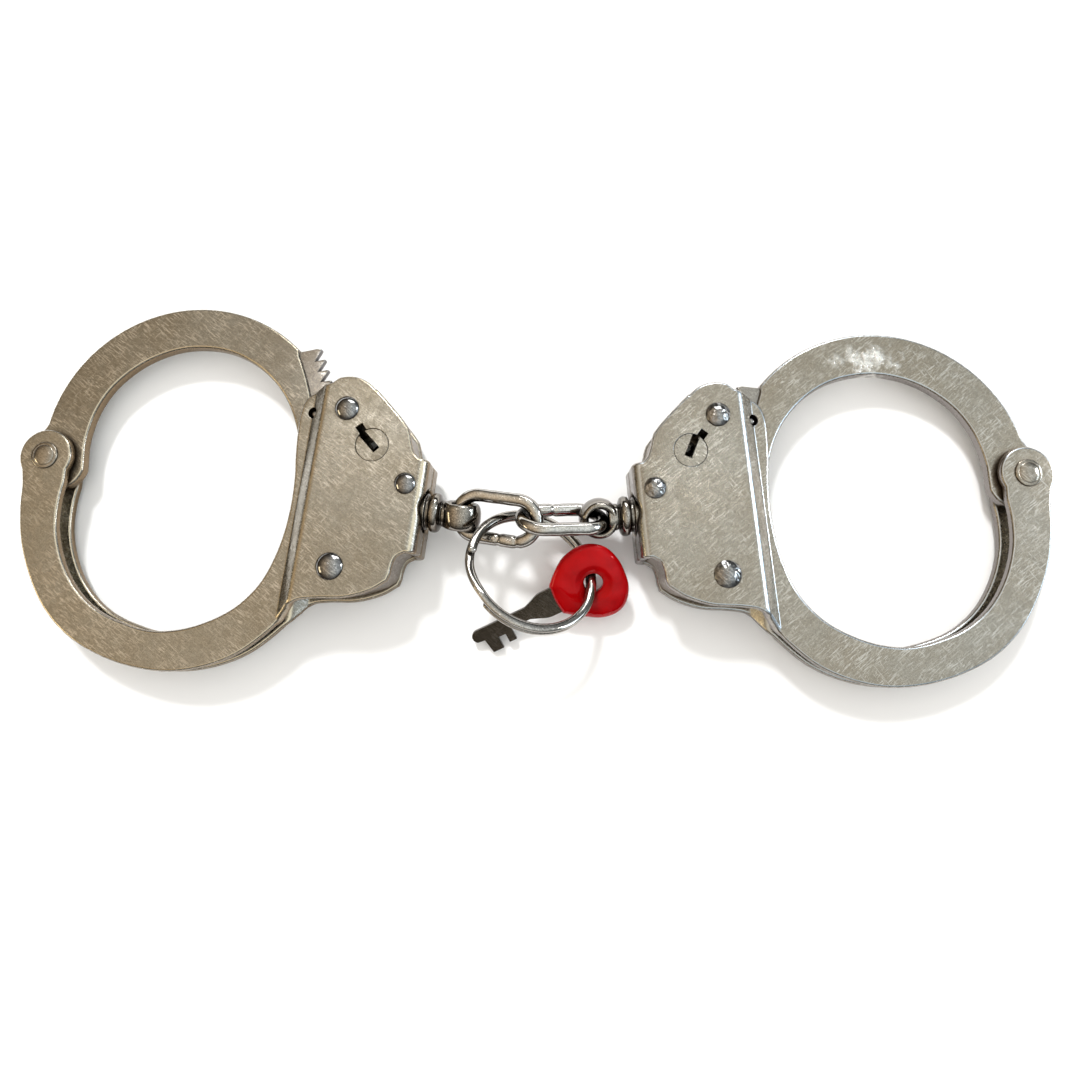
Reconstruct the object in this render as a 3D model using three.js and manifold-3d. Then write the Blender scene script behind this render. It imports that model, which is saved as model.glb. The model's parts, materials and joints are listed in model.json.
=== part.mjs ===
// A pair of swing-through chain handcuffs with a key on a split ring.
// Millimetres, +Z up, lying on z = 0. Both cuffs are the same item: the right one lies on its other face.
import * as THREE from "three";
import { mergeVertices } from "three/addons/utils/BufferGeometryUtils.js";
import Module from "manifold-3d";

const wasm = await Module();
wasm.setup();

const deg = THREE.MathUtils.degToRad;

// ---------- driving dimensions ----------
// Each cuff is drawn round its arm pivot: x runs to the swivel, y to the arm, z across the plates.
const CHEEK_T = 2.05; // sheet thickness of each cheek
const STRAND_GAP = 3.2; // clear space between the cheeks where the arm runs
const CASE_RISE = 2.75; // how far each cheek steps outwards to make the lock case
const ARM_T = 2.7;
const RAIL_T = 1.9; // thinner toothed edge of the arm
const FIT = 0.15; // clearance between pieces that sit on each other
const BOW_Z = STRAND_GAP / 2 + CHEEK_T; // outer face of the flat bow
const CASE_IN = STRAND_GAP / 2 + CASE_RISE; // inner face of the lock case
const CASE_Z = CASE_IN + CHEEK_T; // outer face of the lock case

const STEP_START = 61.2; // where the cheek leaves the bow level, and where it reaches the case level
const STEP_END = 64.2;
const WALL_X = 89.6; // outer face of the end wall
const WALL_TOP = 8.6;
const WALL_BOTTOM = -12.3;
const WALL_BEND_R = 2.2; // outer bend radius of the flange
const SWIVEL_Y = -1.9;

const EAR_R = 6.2; // the round end of each strand at the arm's pivot
const UPPER_RIVET = [69.4, 18.15];
const END_RIVET = [85.15, 2.7];
const PAWL_RIVET = [71.6, -17.4];
const RIVET_HOLE_R = 1.75;
const END_SHANK_R = 1.15; // the end rivet is slimmer, to pass above the swivel's head
const PIVOT_HOLE_R = 2.3;
const PIVOT_SHANK_R = 2.05;
const UPPER_HEAD_R = 2.72;
const END_HEAD_R = 2.38;
const PAWL_HEAD_R = 3;
const PIVOT_HEAD_R = 3.1;
const DOME_H = 1.35; // height of the upper and pawl rivets' heads
const END_DOME_H = 1.15;
const PIVOT_DOME_H = 0.9;

const PLUG = [76.4, 10.5]; // the turning disc with the key slot
const PLUG_R = 3.72;
const PLUG_FLANGE_R = 4.6;
const PLUG_POST_R = 1.3;
const NOTCH_ANGLE = deg(132); // direction of the key slot from the plug's centre
const NOTCH_REACH = 5.5; // from the plug's centre to the end of the notch in the cheek
const SLOT_BACK = 1.4; // how far the plug's slot runs past its centre
const SLOT_FLOOR = 0.6; // height of the slot's bottom above mid-plane, where the post stays whole
const KEY_SLOT_W = 1.4;
const GUIDE_PIN = [61.1, 17]; // the recessed pin beside the upper rivet
const GUIDE_HOLE_R = 1.35;
const GUIDE_PIN_R = 1.15;

const TOOTH_PITCH = deg(30 / 13);
const TOOTH_TIP_R = 67.8;
const TOOTH_ROOT_R = 65.2;
const RAIL_STEP_R = 62.4; // where the thick strand ends and the thin toothed edge begins
const RAIL_INNER_R = 59.3;
const TEETH = 17;
const TEETH_TOP = deg(29.9); // upper end of the teeth, seen from the pivot
const SHOULDER = deg(30.9); // where the arm widens again above the teeth
const RAIL_END = deg(-9.3); // lower end of the teeth
const STRAND_ARC = [31.9, 5.5, 34.8]; // outer edge of the arm: centre and radius
const CASE_CLEAR_R = 68.2; // the arm's swept radius with clearance
const PAWL_TEETH = 3;
const PAWL_FIRST = 9; // how many teeth below the top of the row the pawl begins
const PAWL_HALF_T = 1.3;
const EYE_POCKET_R = 4.1; // the frame's pocket round the pawl's eye
const SPRING_HALF_T = 0.25;
const SPRING_HALF_W = 1.1;

const STUD_R = 2.4; // the swivel's shank
const STUD_HEAD = [78.9, 81.7, 3.8]; // the swivel's head inside the case: from, to and radius
const STUD_BORE_R = 2.6;
const COLLAR = [91.5, 92.7, 4.1]; // the swivel's collar outside the wall: from, to and radius
const NECK = [92.5, 94.2, 3]; // between collar and eye
const BUSH = [87.6, 91.3, 4.15]; // fixed in the end wall round the shank
const WALL_HOLE_R = 4.85;
const LINK_LENGTH = 21.3;
const LINK_WIDTH = 12.3;
const LINK_WIRE_R = 1.5;
const EYE_R = 3.4; // from the eye's centre to the middle of its band
const EYE_BAND = [1.12, 2.4]; // half thickness of the band, across the ring and along the hole
const EYE_X = 97.3;

const RING_R = 14.1;
const RING_WIRE = [1.0, 0.58]; // half width across the ring and half thickness of each coil
const KEY_T = 1.3;
const KEY_LENGTH = 30.4; // from the hole to the tip
const KEY_HOLE_R = 3.7;
const BOW_R = 6.6; // the round end of the blade, inside the vinyl head
const SHANK_HALF = 1.45;
const HEAD_HOLE_R = 2.7;
const HEAD_HALF_T = 1.95;
// ---------- where the pieces lie ----------
// A cuff rests on its pivot head and a case rivet's head, so its plates lean a little.
const TILT = Math.atan2(CASE_Z + DOME_H - BOW_Z - PIVOT_DOME_H, UPPER_RIVET[0]);
const LEFT = { x: 0, y: 0, yaw: deg(-7.54), armTeeth: 0, plugTurn: deg(7.5), eyeLean: deg(70) };
const RIGHT = { x: 223.7, y: -4.97, yaw: deg(4.97), armTeeth: 3, plugTurn: deg(-15), eyeLean: deg(24) };
const LEFT_LINK = { at: [104.36, -15.6, 10.96], yaw: deg(-9.9), pitch: deg(-10.7), roll: deg(14.4) };
const RIGHT_LINK = { at: [118.76, -15.86, 10.97], yaw: deg(3.8), pitch: deg(15), roll: deg(-51.7) };
const RING_AT = [112.2, -27.34, 11.98];
const RING_NORMAL = [0.45, 0.458, 1];
const RING_SEAM = 195; // direction of the coils' ends, in degrees
const KEY = { at: [125.69, -29.3, 7.2], yaw: deg(204.5), pitch: deg(9.9), roll: deg(-21.5) };

// ---------- materials ----------
const finish = (color, roughness, metalness) => new THREE.MeshStandardMaterial({ color, roughness, metalness });
const NICKEL = finish(0xb3ada0, 0.34, 1);
const RIVET_STEEL = finish(0xb9bcc0, 0.26, 1);
const CHAIN_NICKEL = finish(0xa8a49a, 0.24, 1);
const LOCK_STEEL = finish(0x6f6e6b, 0.45, 1);
const KEY_STEEL = finish(0x55534f, 0.5, 1);
const RED_VINYL = finish(0xb80812, 0.16, 0);

// ---------- solids ----------
function solid(geometry) {
  const bare = geometry.index ? geometry.toNonIndexed() : geometry.clone();
  for (const name of Object.keys(bare.attributes)) if (name !== "position") bare.deleteAttribute(name);
  const merged = mergeVertices(bare, 1e-4);
  return new wasm.Manifold(
    new wasm.Mesh({
      numProp: 3,
      vertProperties: merged.attributes.position.array,
      triVerts: new Uint32Array(merged.index.array),
    }),
  );
}

function geometryOf(body) {
  const mesh = body.getMesh();
  const geometry = new THREE.BufferGeometry();
  geometry.setAttribute("position", new THREE.BufferAttribute(new Float32Array(mesh.vertProperties), 3));
  geometry.setIndex(new THREE.BufferAttribute(new Uint32Array(mesh.triVerts), 1));
  const flat = geometry.toNonIndexed();
  flat.computeVertexNormals();
  return flat;
}

const union = (first, ...rest) => rest.reduce((sum, next) => sum.add(next), first);
const cut = (first, ...rest) => rest.reduce((left, next) => left.subtract(next), first);

// A flat outline made into a plate between two heights.
function plate(outline, low, high) {
  const geometry = new THREE.ExtrudeGeometry(new THREE.Shape(outline), {
    depth: high - low,
    bevelEnabled: false,
  });
  return solid(geometry.translate(0, 0, low));
}

// A round pin or hole along z.
function drum([x, y], radius, low, high, sides = 24) {
  const geometry = new THREE.CylinderGeometry(radius, radius, high - low, sides);
  return solid(geometry.rotateX(Math.PI / 2).translate(x, y, (low + high) / 2));
}

// The same along x, on the swivel's axis.
function stud(radius, from, to, sides = 24) {
  const geometry = new THREE.CylinderGeometry(radius, radius, to - from, sides);
  return solid(geometry.rotateZ(Math.PI / 2).translate((from + to) / 2, SWIVEL_Y, 0));
}

function box(x0, x1, y0, y1, z0, z1) {
  const geometry = new THREE.BoxGeometry(x1 - x0, y1 - y0, z1 - z0);
  return solid(geometry.translate((x0 + x1) / 2, (y0 + y1) / 2, (z0 + z1) / 2));
}

// A turned piece along z: pairs of radius and height, closed on the axis.
function turned(profile, sides = 24) {
  const geometry = new THREE.LatheGeometry(
    profile.map(([r, z]) => new THREE.Vector2(r, z)),
    sides,
  );
  return solid(geometry.rotateX(Math.PI / 2));
}

const point = (r, angle) => new THREE.Vector2(r * Math.cos(angle), r * Math.sin(angle));

function arc([x, y], r, from, to, steps) {
  return Array.from({ length: steps + 1 }, (_, i) => {
    const at = point(r, deg(from + ((to - from) * i) / steps));
    return at.add(new THREE.Vector2(x, y));
  });
}

// A smooth line through a few points.
function smooth(points, perPoint = 2) {
  const curve = new THREE.SplineCurve(points.map(([x, y]) => new THREE.Vector2(x, y)));
  return curve.getPoints((points.length - 1) * perPoint);
}

const corners = (points) => points.map(([x, y]) => new THREE.Vector2(x, y));

// ---------- cheeks ----------
const bowOutside = smooth([
  [-5, -3.7],
  [-4.1, -7],
  [-3.3, -12.5],
  [-1.2, -20.2],
  [2.5, -27.6],
  [7.6, -34.4],
  [14.4, -39.7],
  [22.2, -42.9],
  [30.5, -44.5],
  [39, -44.4],
  [46.5, -42.4],
  [53.5, -38.7],
  [59.3, -33.2],
  [63.4, -27.9],
]);
const caseBottom = smooth([
  [63.9, -27.1],
  [65.5, -25.6],
  [69.5, -24.6],
  [75.7, -23.7],
  [81.3, -21.4],
  [84.6, -18.9],
]);
const bottomNotch = smooth([
  [85, -17.4],
  [85.1, -15.6],
  [85.7, -13.6],
  [87.2, -12.5],
]);
const topNotch = smooth([
  [87.3, 8.8],
  [86, 10],
  [85.1, 12.1],
  [84.5, 14],
]);
const caseTop = smooth([
  [84, 15.2],
  [82.3, 17.1],
  [78.2, 20.9],
  [75.2, 23.5],
]);
const lip = smooth([
  [65, 23.9],
  [62.6, 22.9],
  [60.4, 21.8],
  [58.8, 20.2],
  [58, 18],
  [57.8, 14.8],
  [58, 11],
]);
const bowInside = smooth([
  [58.3, 7.5],
  [59.2, 0.5],
  [59.3, -7.5],
  [58.2, -15.5],
  [55.6, -22.9],
  [51, -28.8],
  [45.3, -32.7],
  [39.3, -35.2],
  [33, -36.2],
  [26.5, -35.3],
  [20, -33.2],
  [14, -29],
  [9.4, -23],
  [6.5, -16],
  [5.7, -9.5],
  [5.9, -5.5],
]);
const cheekOutline = [
  ...bowOutside,
  ...caseBottom,
  ...bottomNotch,
  new THREE.Vector2(WALL_X, WALL_BOTTOM),
  new THREE.Vector2(WALL_X, WALL_TOP),
  ...topNotch,
  ...caseTop,
  ...arc(UPPER_RIVET, 7.65, 42, 114, 6),
  ...lip,
  ...bowInside,
  ...arc([0, 0], EAR_R, -25, 210, 20),
];

// The sheet seen from its edge: flat bow, step up into the case, flange bent down to mid-height.
function cheekSheet() {
  const bend = 0.9;
  const slope = Math.atan2(CASE_RISE, STEP_END - STEP_START);
  const soften = bend * Math.tan(slope / 2);
  // One face of the sheet: a stepped line with its two bends rounded.
  const face = (level, shift) => {
    const foot = [STEP_START + shift, level];
    const head = [STEP_END + shift, level + CASE_RISE];
    const along = [Math.cos(slope) * soften, Math.sin(slope) * soften];
    return [
      [foot[0] - soften, foot[1]],
      [foot[0] + along[0] * 0.2, foot[1] + along[1] * 0.25 + 0.05],
      [foot[0] + along[0], foot[1] + along[1]],
      [head[0] - along[0], head[1] - along[1]],
      [head[0] - along[0] * 0.2, head[1] - along[1] * 0.25 - 0.05],
      [head[0] + soften, head[1]],
    ];
  };
  const shift = CHEEK_T * Math.tan(slope / 2);
  const innerR = Math.max(WALL_BEND_R - CHEEK_T, 0.3);
  const outerBend = arc([WALL_X - WALL_BEND_R, CASE_Z - WALL_BEND_R], WALL_BEND_R, 90, 0, 5);
  const wallIn = WALL_X - CHEEK_T;
  const innerBend = arc([wallIn - innerR, CASE_IN - innerR], innerR, 0, 90, 2);
  const lowEdge = FIT / 2; // the two flanges meet here with a hairline between them
  const outline = [
    ...corners([[-12, BOW_Z]]),
    ...corners(face(BOW_Z, -shift / 2)),
    ...outerBend,
    ...corners([
      [WALL_X, lowEdge],
      [wallIn, lowEdge],
    ]),
    ...innerBend,
    ...corners(face(STRAND_GAP / 2, shift / 2).reverse()),
    ...corners([[-12, STRAND_GAP / 2]]),
  ].reverse();
  const geometry = new THREE.ExtrudeGeometry(new THREE.Shape(outline), { depth: 90, bevelEnabled: false });
  // The outline's x and y become x and z, and its depth runs along y.
  return solid(geometry.rotateX(Math.PI / 2).translate(0, 40, 0));
}

// The key slot's notch in the plate, running outwards from the plug's hole.
function keyNotch() {
  const start = PLUG_R - 0.8;
  const geometry = new THREE.BoxGeometry(NOTCH_REACH - start, KEY_SLOT_W + 0.1, 30);
  geometry.translate((NOTCH_REACH + start) / 2, 0, 0);
  return solid(geometry.rotateZ(NOTCH_ANGLE).translate(PLUG[0], PLUG[1], 0));
}

function cheek() {
  const flat = plate(cheekOutline, 0, CASE_Z + 1).intersect(cheekSheet());
  return cut(
    flat,
    drum([0, 0], PIVOT_HOLE_R, -1, 12, 20),
    drum(UPPER_RIVET, RIVET_HOLE_R, -1, 12, 20),
    drum(END_RIVET, END_SHANK_R + FIT, -1, 12, 16),
    drum(PAWL_RIVET, RIVET_HOLE_R, -1, 12, 20),
    drum(GUIDE_PIN, GUIDE_HOLE_R, -1, 12, 16),
    drum(PLUG, PLUG_R + FIT, -1, 12, 28),
    keyNotch(),
    stud(WALL_HOLE_R, WALL_X - 6, WALL_X + 3, 28),
  );
}

// ---------- inside the case ----------
const headPocketEnd = STUD_HEAD[1] + 0.5;
const frameOutline = [
  point(CASE_CLEAR_R, deg(-18.2)),
  ...arc(PAWL_RIVET, EYE_POCKET_R, 215, 375, 9),
  ...corners([
    [77.4, -15.9],
    [79.2, -13.4],
    [79.2, -6.4],
    [headPocketEnd, -6.4],
    [headPocketEnd, 3.2],
  ]),
  ...arc(PLUG, 6.5, -26, 140, 9),
  ...arc([0, 0], CASE_CLEAR_R, 12.4, 18.6, 2),
  ...corners([
    [66.2, 22.9],
    [70.2, 24.3],
    [74.2, 22.7],
    [81.8, 16.1],
    [84, 14.2],
  ]),
  ...corners([
    [84.7, 12],
    [85.6, 9.8],
    [86.9, 8.3],
    [87.3, 7.9],
    [87.3, -11.6],
    [86.6, -12.2],
    [85.3, -13.5],
    [84.7, -15.6],
    [84.5, -17.4],
    [84, -18.6],
    [80.9, -20.5],
    [75.5, -22.6],
    [69.6, -23.5],
    [65.8, -24],
  ]),
].reverse();

// The solid middle of the case: pockets for the pawl, the bar, the plug's post and the swivel's head.
function lockFrame() {
  const half = CASE_IN - FIT;
  return cut(
    plate(frameOutline, -half, half),
    drum(UPPER_RIVET, RIVET_HOLE_R, -9, 9, 20),
    drum(END_RIVET, END_SHANK_R + FIT, -9, 9, 16),
    stud(STUD_BORE_R, 80, 92, 20),
  );
}

// The teeth's edge: how far along one tooth, from 0 to 1, and how far from the pivot.
const ARM_TOOTH = [
  [0, TOOTH_ROOT_R],
  [0.78, TOOTH_TIP_R],
  [0.88, TOOTH_TIP_R],
];
const PAWL_TOOTH = [
  [0.03, TOOTH_ROOT_R + 0.55],
  [0.1, TOOTH_ROOT_R + 0.55],
  [0.8, TOOTH_TIP_R + 0.3],
  [0.98, TOOTH_TIP_R + 0.3],
];

function toothedEdge(form, top, count) {
  const edge = [];
  for (let i = 0; i < count; i += 1)
    for (const [u, r] of form) edge.push(point(r, top + (i - count + u) * TOOTH_PITCH));
  return edge;
}

// The three-toothed lever that holds the arm.
function pawl() {
  const pawlTop = TEETH_TOP - PAWL_FIRST * TOOTH_PITCH;
  const outline = [
    ...arc(PAWL_RIVET, EYE_POCKET_R - 0.4, 165, 395, 12),
    ...corners([
      [73.4, -12.4],
      [73.4, -3.4],
      [71.2, -3],
      [71.2, 0.6],
      [73.3, 1],
      [73.2, 5],
      [71.6, 9.6],
      [70, 11.2],
    ]),
    point(TOOTH_TIP_R + 0.3, pawlTop + 0.2 * TOOTH_PITCH),
    ...toothedEdge(PAWL_TOOTH, pawlTop, PAWL_TEETH).reverse(),
    point(TOOTH_TIP_R + 0.3, pawlTop - (PAWL_TEETH + 0.02) * TOOTH_PITCH),
    ...arc([0, 0], CASE_CLEAR_R, -0.5, -12, 3),
  ];
  return cut(plate(outline, -PAWL_HALF_T, PAWL_HALF_T), drum(PAWL_RIVET, RIVET_HOLE_R, -3, 3, 20));
}

// A bent leaf between the frame and the pawl's back.
function pawlSpring() {
  const middle = new THREE.SplineCurve(
    corners([
      [78.6, -11],
      [78, -13.4],
      [76.5, -14.3],
      [75.1, -12.8],
      [74.3, -9.8],
      [74, -6.4],
    ]),
  );
  const count = 12;
  const side = (sign) =>
    Array.from({ length: count + 1 }, (_, i) => {
      const along = middle.getTangent(i / count);
      const across = new THREE.Vector2(-along.y, along.x);
      return middle.getPoint(i / count).add(across.multiplyScalar(sign * SPRING_HALF_T));
    });
  return plate([...side(1), ...side(-1).reverse()], -SPRING_HALF_W, SPRING_HALF_W);
}

// The sliding bar whose nose blocks the pawl when the cuff is double locked.
function lockBar() {
  return plate(
    corners([
      [76.5, -5.2],
      [78.6, -5.2],
      [78.6, 3.4],
      [76.5, 3.4],
      [76.5, 0.3],
      [73.75, 0.3],
      [73.75, -2.4],
      [76.5, -2.4],
    ]),
    -PAWL_HALF_T,
    PAWL_HALF_T,
  );
}

// Two discs flush with the cheeks, flanged inside and joined by a post, each with the key slot in it.
function keyPlug() {
  const flangeLow = CASE_IN - FIT - 1.1;
  const top = CASE_Z - 0.1;
  const body = turned(
    [
      [0, -top],
      [PLUG_R - 0.25, -top],
      [PLUG_R, -top + 0.25],
      [PLUG_R, -CASE_IN + FIT],
      [PLUG_FLANGE_R, -CASE_IN + FIT],
      [PLUG_FLANGE_R, -flangeLow],
      [PLUG_POST_R, -flangeLow],
      [PLUG_POST_R, flangeLow],
      [PLUG_FLANGE_R, flangeLow],
      [PLUG_FLANGE_R, CASE_IN - FIT],
      [PLUG_R, CASE_IN - FIT],
      [PLUG_R, top - 0.25],
      [PLUG_R - 0.25, top],
      [0, top],
    ],
    28,
  );
  const slot = (low, high) => box(-SLOT_BACK, PLUG_R + 1.3, -KEY_SLOT_W / 2, KEY_SLOT_W / 2, low, high);
  const slots = union(slot(SLOT_FLOOR, CASE_Z), slot(-CASE_Z, -SLOT_FLOOR));
  return cut(body, slots.rotate([0, 0, THREE.MathUtils.radToDeg(NOTCH_ANGLE)]));
}

// ---------- ratchet arm ----------
const armInside = smooth(
  [
    [7.3, 3.6],
    [7.3, 7],
    [8.2, 12.6],
    [11, 18.8],
    [17, 25.2],
    [24.4, 29.2],
    [31, 30.5],
    [37.7, 30.1],
    [44, 27.8],
    [49.6, 23.9],
    [53.5, 19.4],
    [56.3, 14.2],
    [58.3, 8.4],
    [RAIL_INNER_R, 2],
  ],
  3,
);
const armTip = smooth([
  [59.4, -1],
  [59.6, -6],
  [60.1, -9.8],
  [61, -12.1],
  [62.3, -12.9],
  [63.2, -12.2],
]);

function ratchetArm() {
  const [arcX, arcY, arcR] = STRAND_ARC;
  const sweep = SHOULDER - RAIL_END;
  const steps = 16;
  const body = [
    ...armInside,
    ...armTip,
    ...Array.from({ length: steps + 1 }, (_, i) => point(RAIL_STEP_R, RAIL_END - 0.02 + (sweep * i) / steps)),
    ...arc([arcX, arcY], arcR, 51, 176, 28),
    ...arc([0, 0], EAR_R, 140, 235, 8),
    ...arc([1.7, -0.8], 6.5, 240, 352, 9),
  ];
  // The rail reaches a little under the strand, so that the two join.
  const railRoot = RAIL_STEP_R - 0.8;
  const rail = [
    point(railRoot, RAIL_END - 0.035),
    point(TOOTH_ROOT_R - 1.2, RAIL_END - 0.045),
    point(TOOTH_ROOT_R - 0.3, RAIL_END - 0.025),
    ...toothedEdge(ARM_TOOTH, TEETH_TOP, TEETH),
    point(TOOTH_TIP_R - 1, TEETH_TOP + 0.002),
    point(RAIL_STEP_R + 1.6, SHOULDER - 0.006),
    ...Array.from({ length: steps }, (_, i) => point(railRoot, SHOULDER + 0.004 - (sweep * i) / steps)),
  ];
  return cut(
    union(plate(body, -ARM_T / 2, ARM_T / 2), plate(rail, -RAIL_T / 2, RAIL_T / 2)),
    drum([0, 0], PIVOT_HOLE_R, -3, 3),
  );
}

// ---------- rivets and pins ----------
// A shank with a domed head on each side; the head sits on the plate at face.
function rivet(headR, domeH, shankR, face, sides = 20) {
  const rise = [0.35, 0.7, 0.92, 1];
  const spread = [0.97, 0.83, 0.5, 0];
  const seat = face + 0.02;
  const upper = rise.map((h, i) => [headR * spread[i], seat + domeH * h]);
  const half = [[shankR, seat], [headR, seat], ...upper];
  const lower = half.map(([r, z]) => [r, -z]).reverse();
  return turned([...lower, ...half], sides);
}

// The arm's pivot: a low head with a ring turned into it.
function pivotRivet() {
  const seat = BOW_Z + 0.02;
  const half = [
    [PIVOT_SHANK_R, seat],
    [PIVOT_HEAD_R, seat],
    [3.05, seat + 0.45],
    [2.5, seat + 0.75],
    [2.05, seat + 0.5],
    [1.6, seat + 0.78],
    [0, seat + PIVOT_DOME_H - 0.02],
  ];
  return turned([...half.map(([r, z]) => [r, -z]).reverse(), ...half], 20);
}

// ---------- swivel ----------
// An ellipse turned round the hole's axis.
function eyeRing() {
  const [across, along] = EYE_BAND;
  const count = 10;
  const profile = Array.from({ length: count + 1 }, (_, i) => {
    const t = (i / count) * 2 * Math.PI;
    return new THREE.Vector2(EYE_R + across * Math.cos(t), along * Math.sin(t));
  });
  profile[count] = profile[0].clone();
  return solid(new THREE.LatheGeometry(profile, 24).rotateX(Math.PI / 2));
}

// A headed shank that turns in the case, with the collar and the eye outside it.
function swivel() {
  const eye = eyeRing().translate([EYE_X, SWIVEL_Y, 0]);
  const hole = drum([EYE_X, SWIVEL_Y], EYE_R - EYE_BAND[0] + 0.1, -5, 5, 24);
  const [headFrom, headTo, headR] = STUD_HEAD;
  const [collarFrom, collarTo, collarR] = COLLAR;
  const [neckFrom, neckTo, neckR] = NECK;
  const shank = union(
    stud(headR, headFrom, headTo, 20),
    stud(STUD_R, headTo - 0.1, 92, 20),
    stud(collarR, collarFrom, collarTo, 24),
    stud(neckR, neckFrom, neckTo, 20),
  );
  return union(cut(shank, hole), eye);
}

function swivelBush() {
  const [from, to, r] = BUSH;
  return cut(stud(r, from, to, 24), stud(STUD_BORE_R, 85, 95, 20));
}

// ---------- chain, ring and key ----------
// Round wire run once round a line of two straights and two half circles.
function chainLink() {
  const bendR = LINK_WIDTH / 2 - LINK_WIRE_R;
  const reach = LINK_LENGTH / 2 - LINK_WIRE_R - bendR;
  class LinkLine extends THREE.Curve {
    getPoint(t, target = new THREE.Vector3()) {
      const straight = 2 * reach;
      const bend = Math.PI * bendR;
      let s = t * 2 * (straight + bend);
      const flip = s > straight + bend ? -1 : 1;
      if (flip < 0) s -= straight + bend;
      if (s <= straight) return target.set(flip * (-reach + s), flip * -bendR, 0);
      const angle = (s - straight) / bendR - Math.PI / 2;
      return target.set(flip * (reach + bendR * Math.cos(angle)), flip * bendR * Math.sin(angle), 0);
    }
  }
  const sides = 10;
  const section = Array.from({ length: sides }, (_, i) => point(LINK_WIRE_R, (i / sides) * 2 * Math.PI));
  const line = new LinkLine();
  const steps = 30;
  const rings = [];
  for (let i = 0; i < steps; i += 1) {
    const at = line.getPoint(i / steps);
    const ahead = line.getPoint((i + 0.01) / steps).sub(at).normalize();
    const out = new THREE.Vector3(ahead.y, -ahead.x, 0);
    rings.push(section.map((p) => at.clone().addScaledVector(out, p.x).add(new THREE.Vector3(0, 0, p.y))));
  }
  return tubeOf(rings, true);
}

// A closed skin over rings of points: joined end to start, or capped at both ends.
function tubeOf(rings, closed) {
  const sides = rings[0].length;
  const faces = [];
  const last = closed ? rings.length : rings.length - 1;
  for (let i = 0; i < last; i += 1) {
    const a = rings[i];
    const b = rings[(i + 1) % rings.length];
    for (let j = 0; j < sides; j += 1) {
      const k = (j + 1) % sides;
      faces.push(a[j], a[k], b[j], b[j], a[k], b[k]);
    }
  }
  if (!closed)
    for (let j = 1; j < sides - 1; j += 1) {
      const end = rings[rings.length - 1];
      faces.push(rings[0][0], rings[0][j + 1], rings[0][j], end[0], end[j], end[j + 1]);
    }
  const geometry = new THREE.BufferGeometry().setFromPoints(faces);
  const body = solid(geometry);
  return body.volume() > 0 ? body : solid(flipped(geometry));
}

// The same triangles wound the other way.
function flipped(geometry) {
  const at = geometry.attributes.position;
  const points = [];
  for (let i = 0; i < at.count; i += 3)
    for (const k of [0, 2, 1]) points.push(new THREE.Vector3().fromBufferAttribute(at, i + k));
  return new THREE.BufferGeometry().setFromPoints(points);
}

// Two coils of wire: the lower coil climbs to the upper one over a short jog, and each end lies in it.
function splitRing() {
  const [across, thick] = RING_WIRE;
  const level = thick + 0.04;
  const jog = deg(20);
  const gap = deg(24);
  const from = gap;
  const to = 4 * Math.PI - gap;
  const steps = 64;
  const section = [
    [-1, -0.6],
    [-0.6, -1],
    [0.6, -1],
    [1, -0.6],
    [1, 0.6],
    [0.6, 1],
    [-0.6, 1],
    [-1, 0.6],
  ];
  const rings = Array.from({ length: steps + 1 }, (_, i) => {
    const turn = from + ((to - from) * i) / steps;
    const climb = THREE.MathUtils.smoothstep(turn, 2 * Math.PI - jog, 2 * Math.PI + jog);
    const z = level * (2 * climb - 1);
    return section.map(([u, v]) => {
      const r = RING_R + u * across;
      return new THREE.Vector3(r * Math.cos(turn), r * Math.sin(turn), z + v * thick);
    });
  });
  return tubeOf(rings, false);
}

// The key lies along x with its hole at the origin and its bits towards +y; g grows the outline all round.
function keyOutline(g) {
  return [
    ...arc([0.6, 0], BOW_R + g, 38, 322, 22),
    ...corners([
      [9.5, -3.1 - g],
      [12.5, -3 - g],
      [16.5, -SHANK_HALF - g],
    ]),
    ...arc([KEY_LENGTH - SHANK_HALF, 0], SHANK_HALF + g, -90, 60, 6),
    ...corners([
      [28, SHANK_HALF + g],
      [27.5, 4.9 + g],
      [24.9, 4.9 + g],
      [24.9, 2.1 + g],
      [23.1, 2.1 + g],
      [23.1, 4.3 + g],
      [21.3, 4.3 + g],
      [21.3, SHANK_HALF + g],
      [16.5, SHANK_HALF + g],
      [12.5, 3 + g],
      [9.5, 3.1 + g],
    ]),
  ];
}

function keyBlade() {
  return cut(plate(keyOutline(0).reverse(), -KEY_T / 2, KEY_T / 2), drum([0, 0], KEY_HOLE_R, -3, 3, 24));
}

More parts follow.
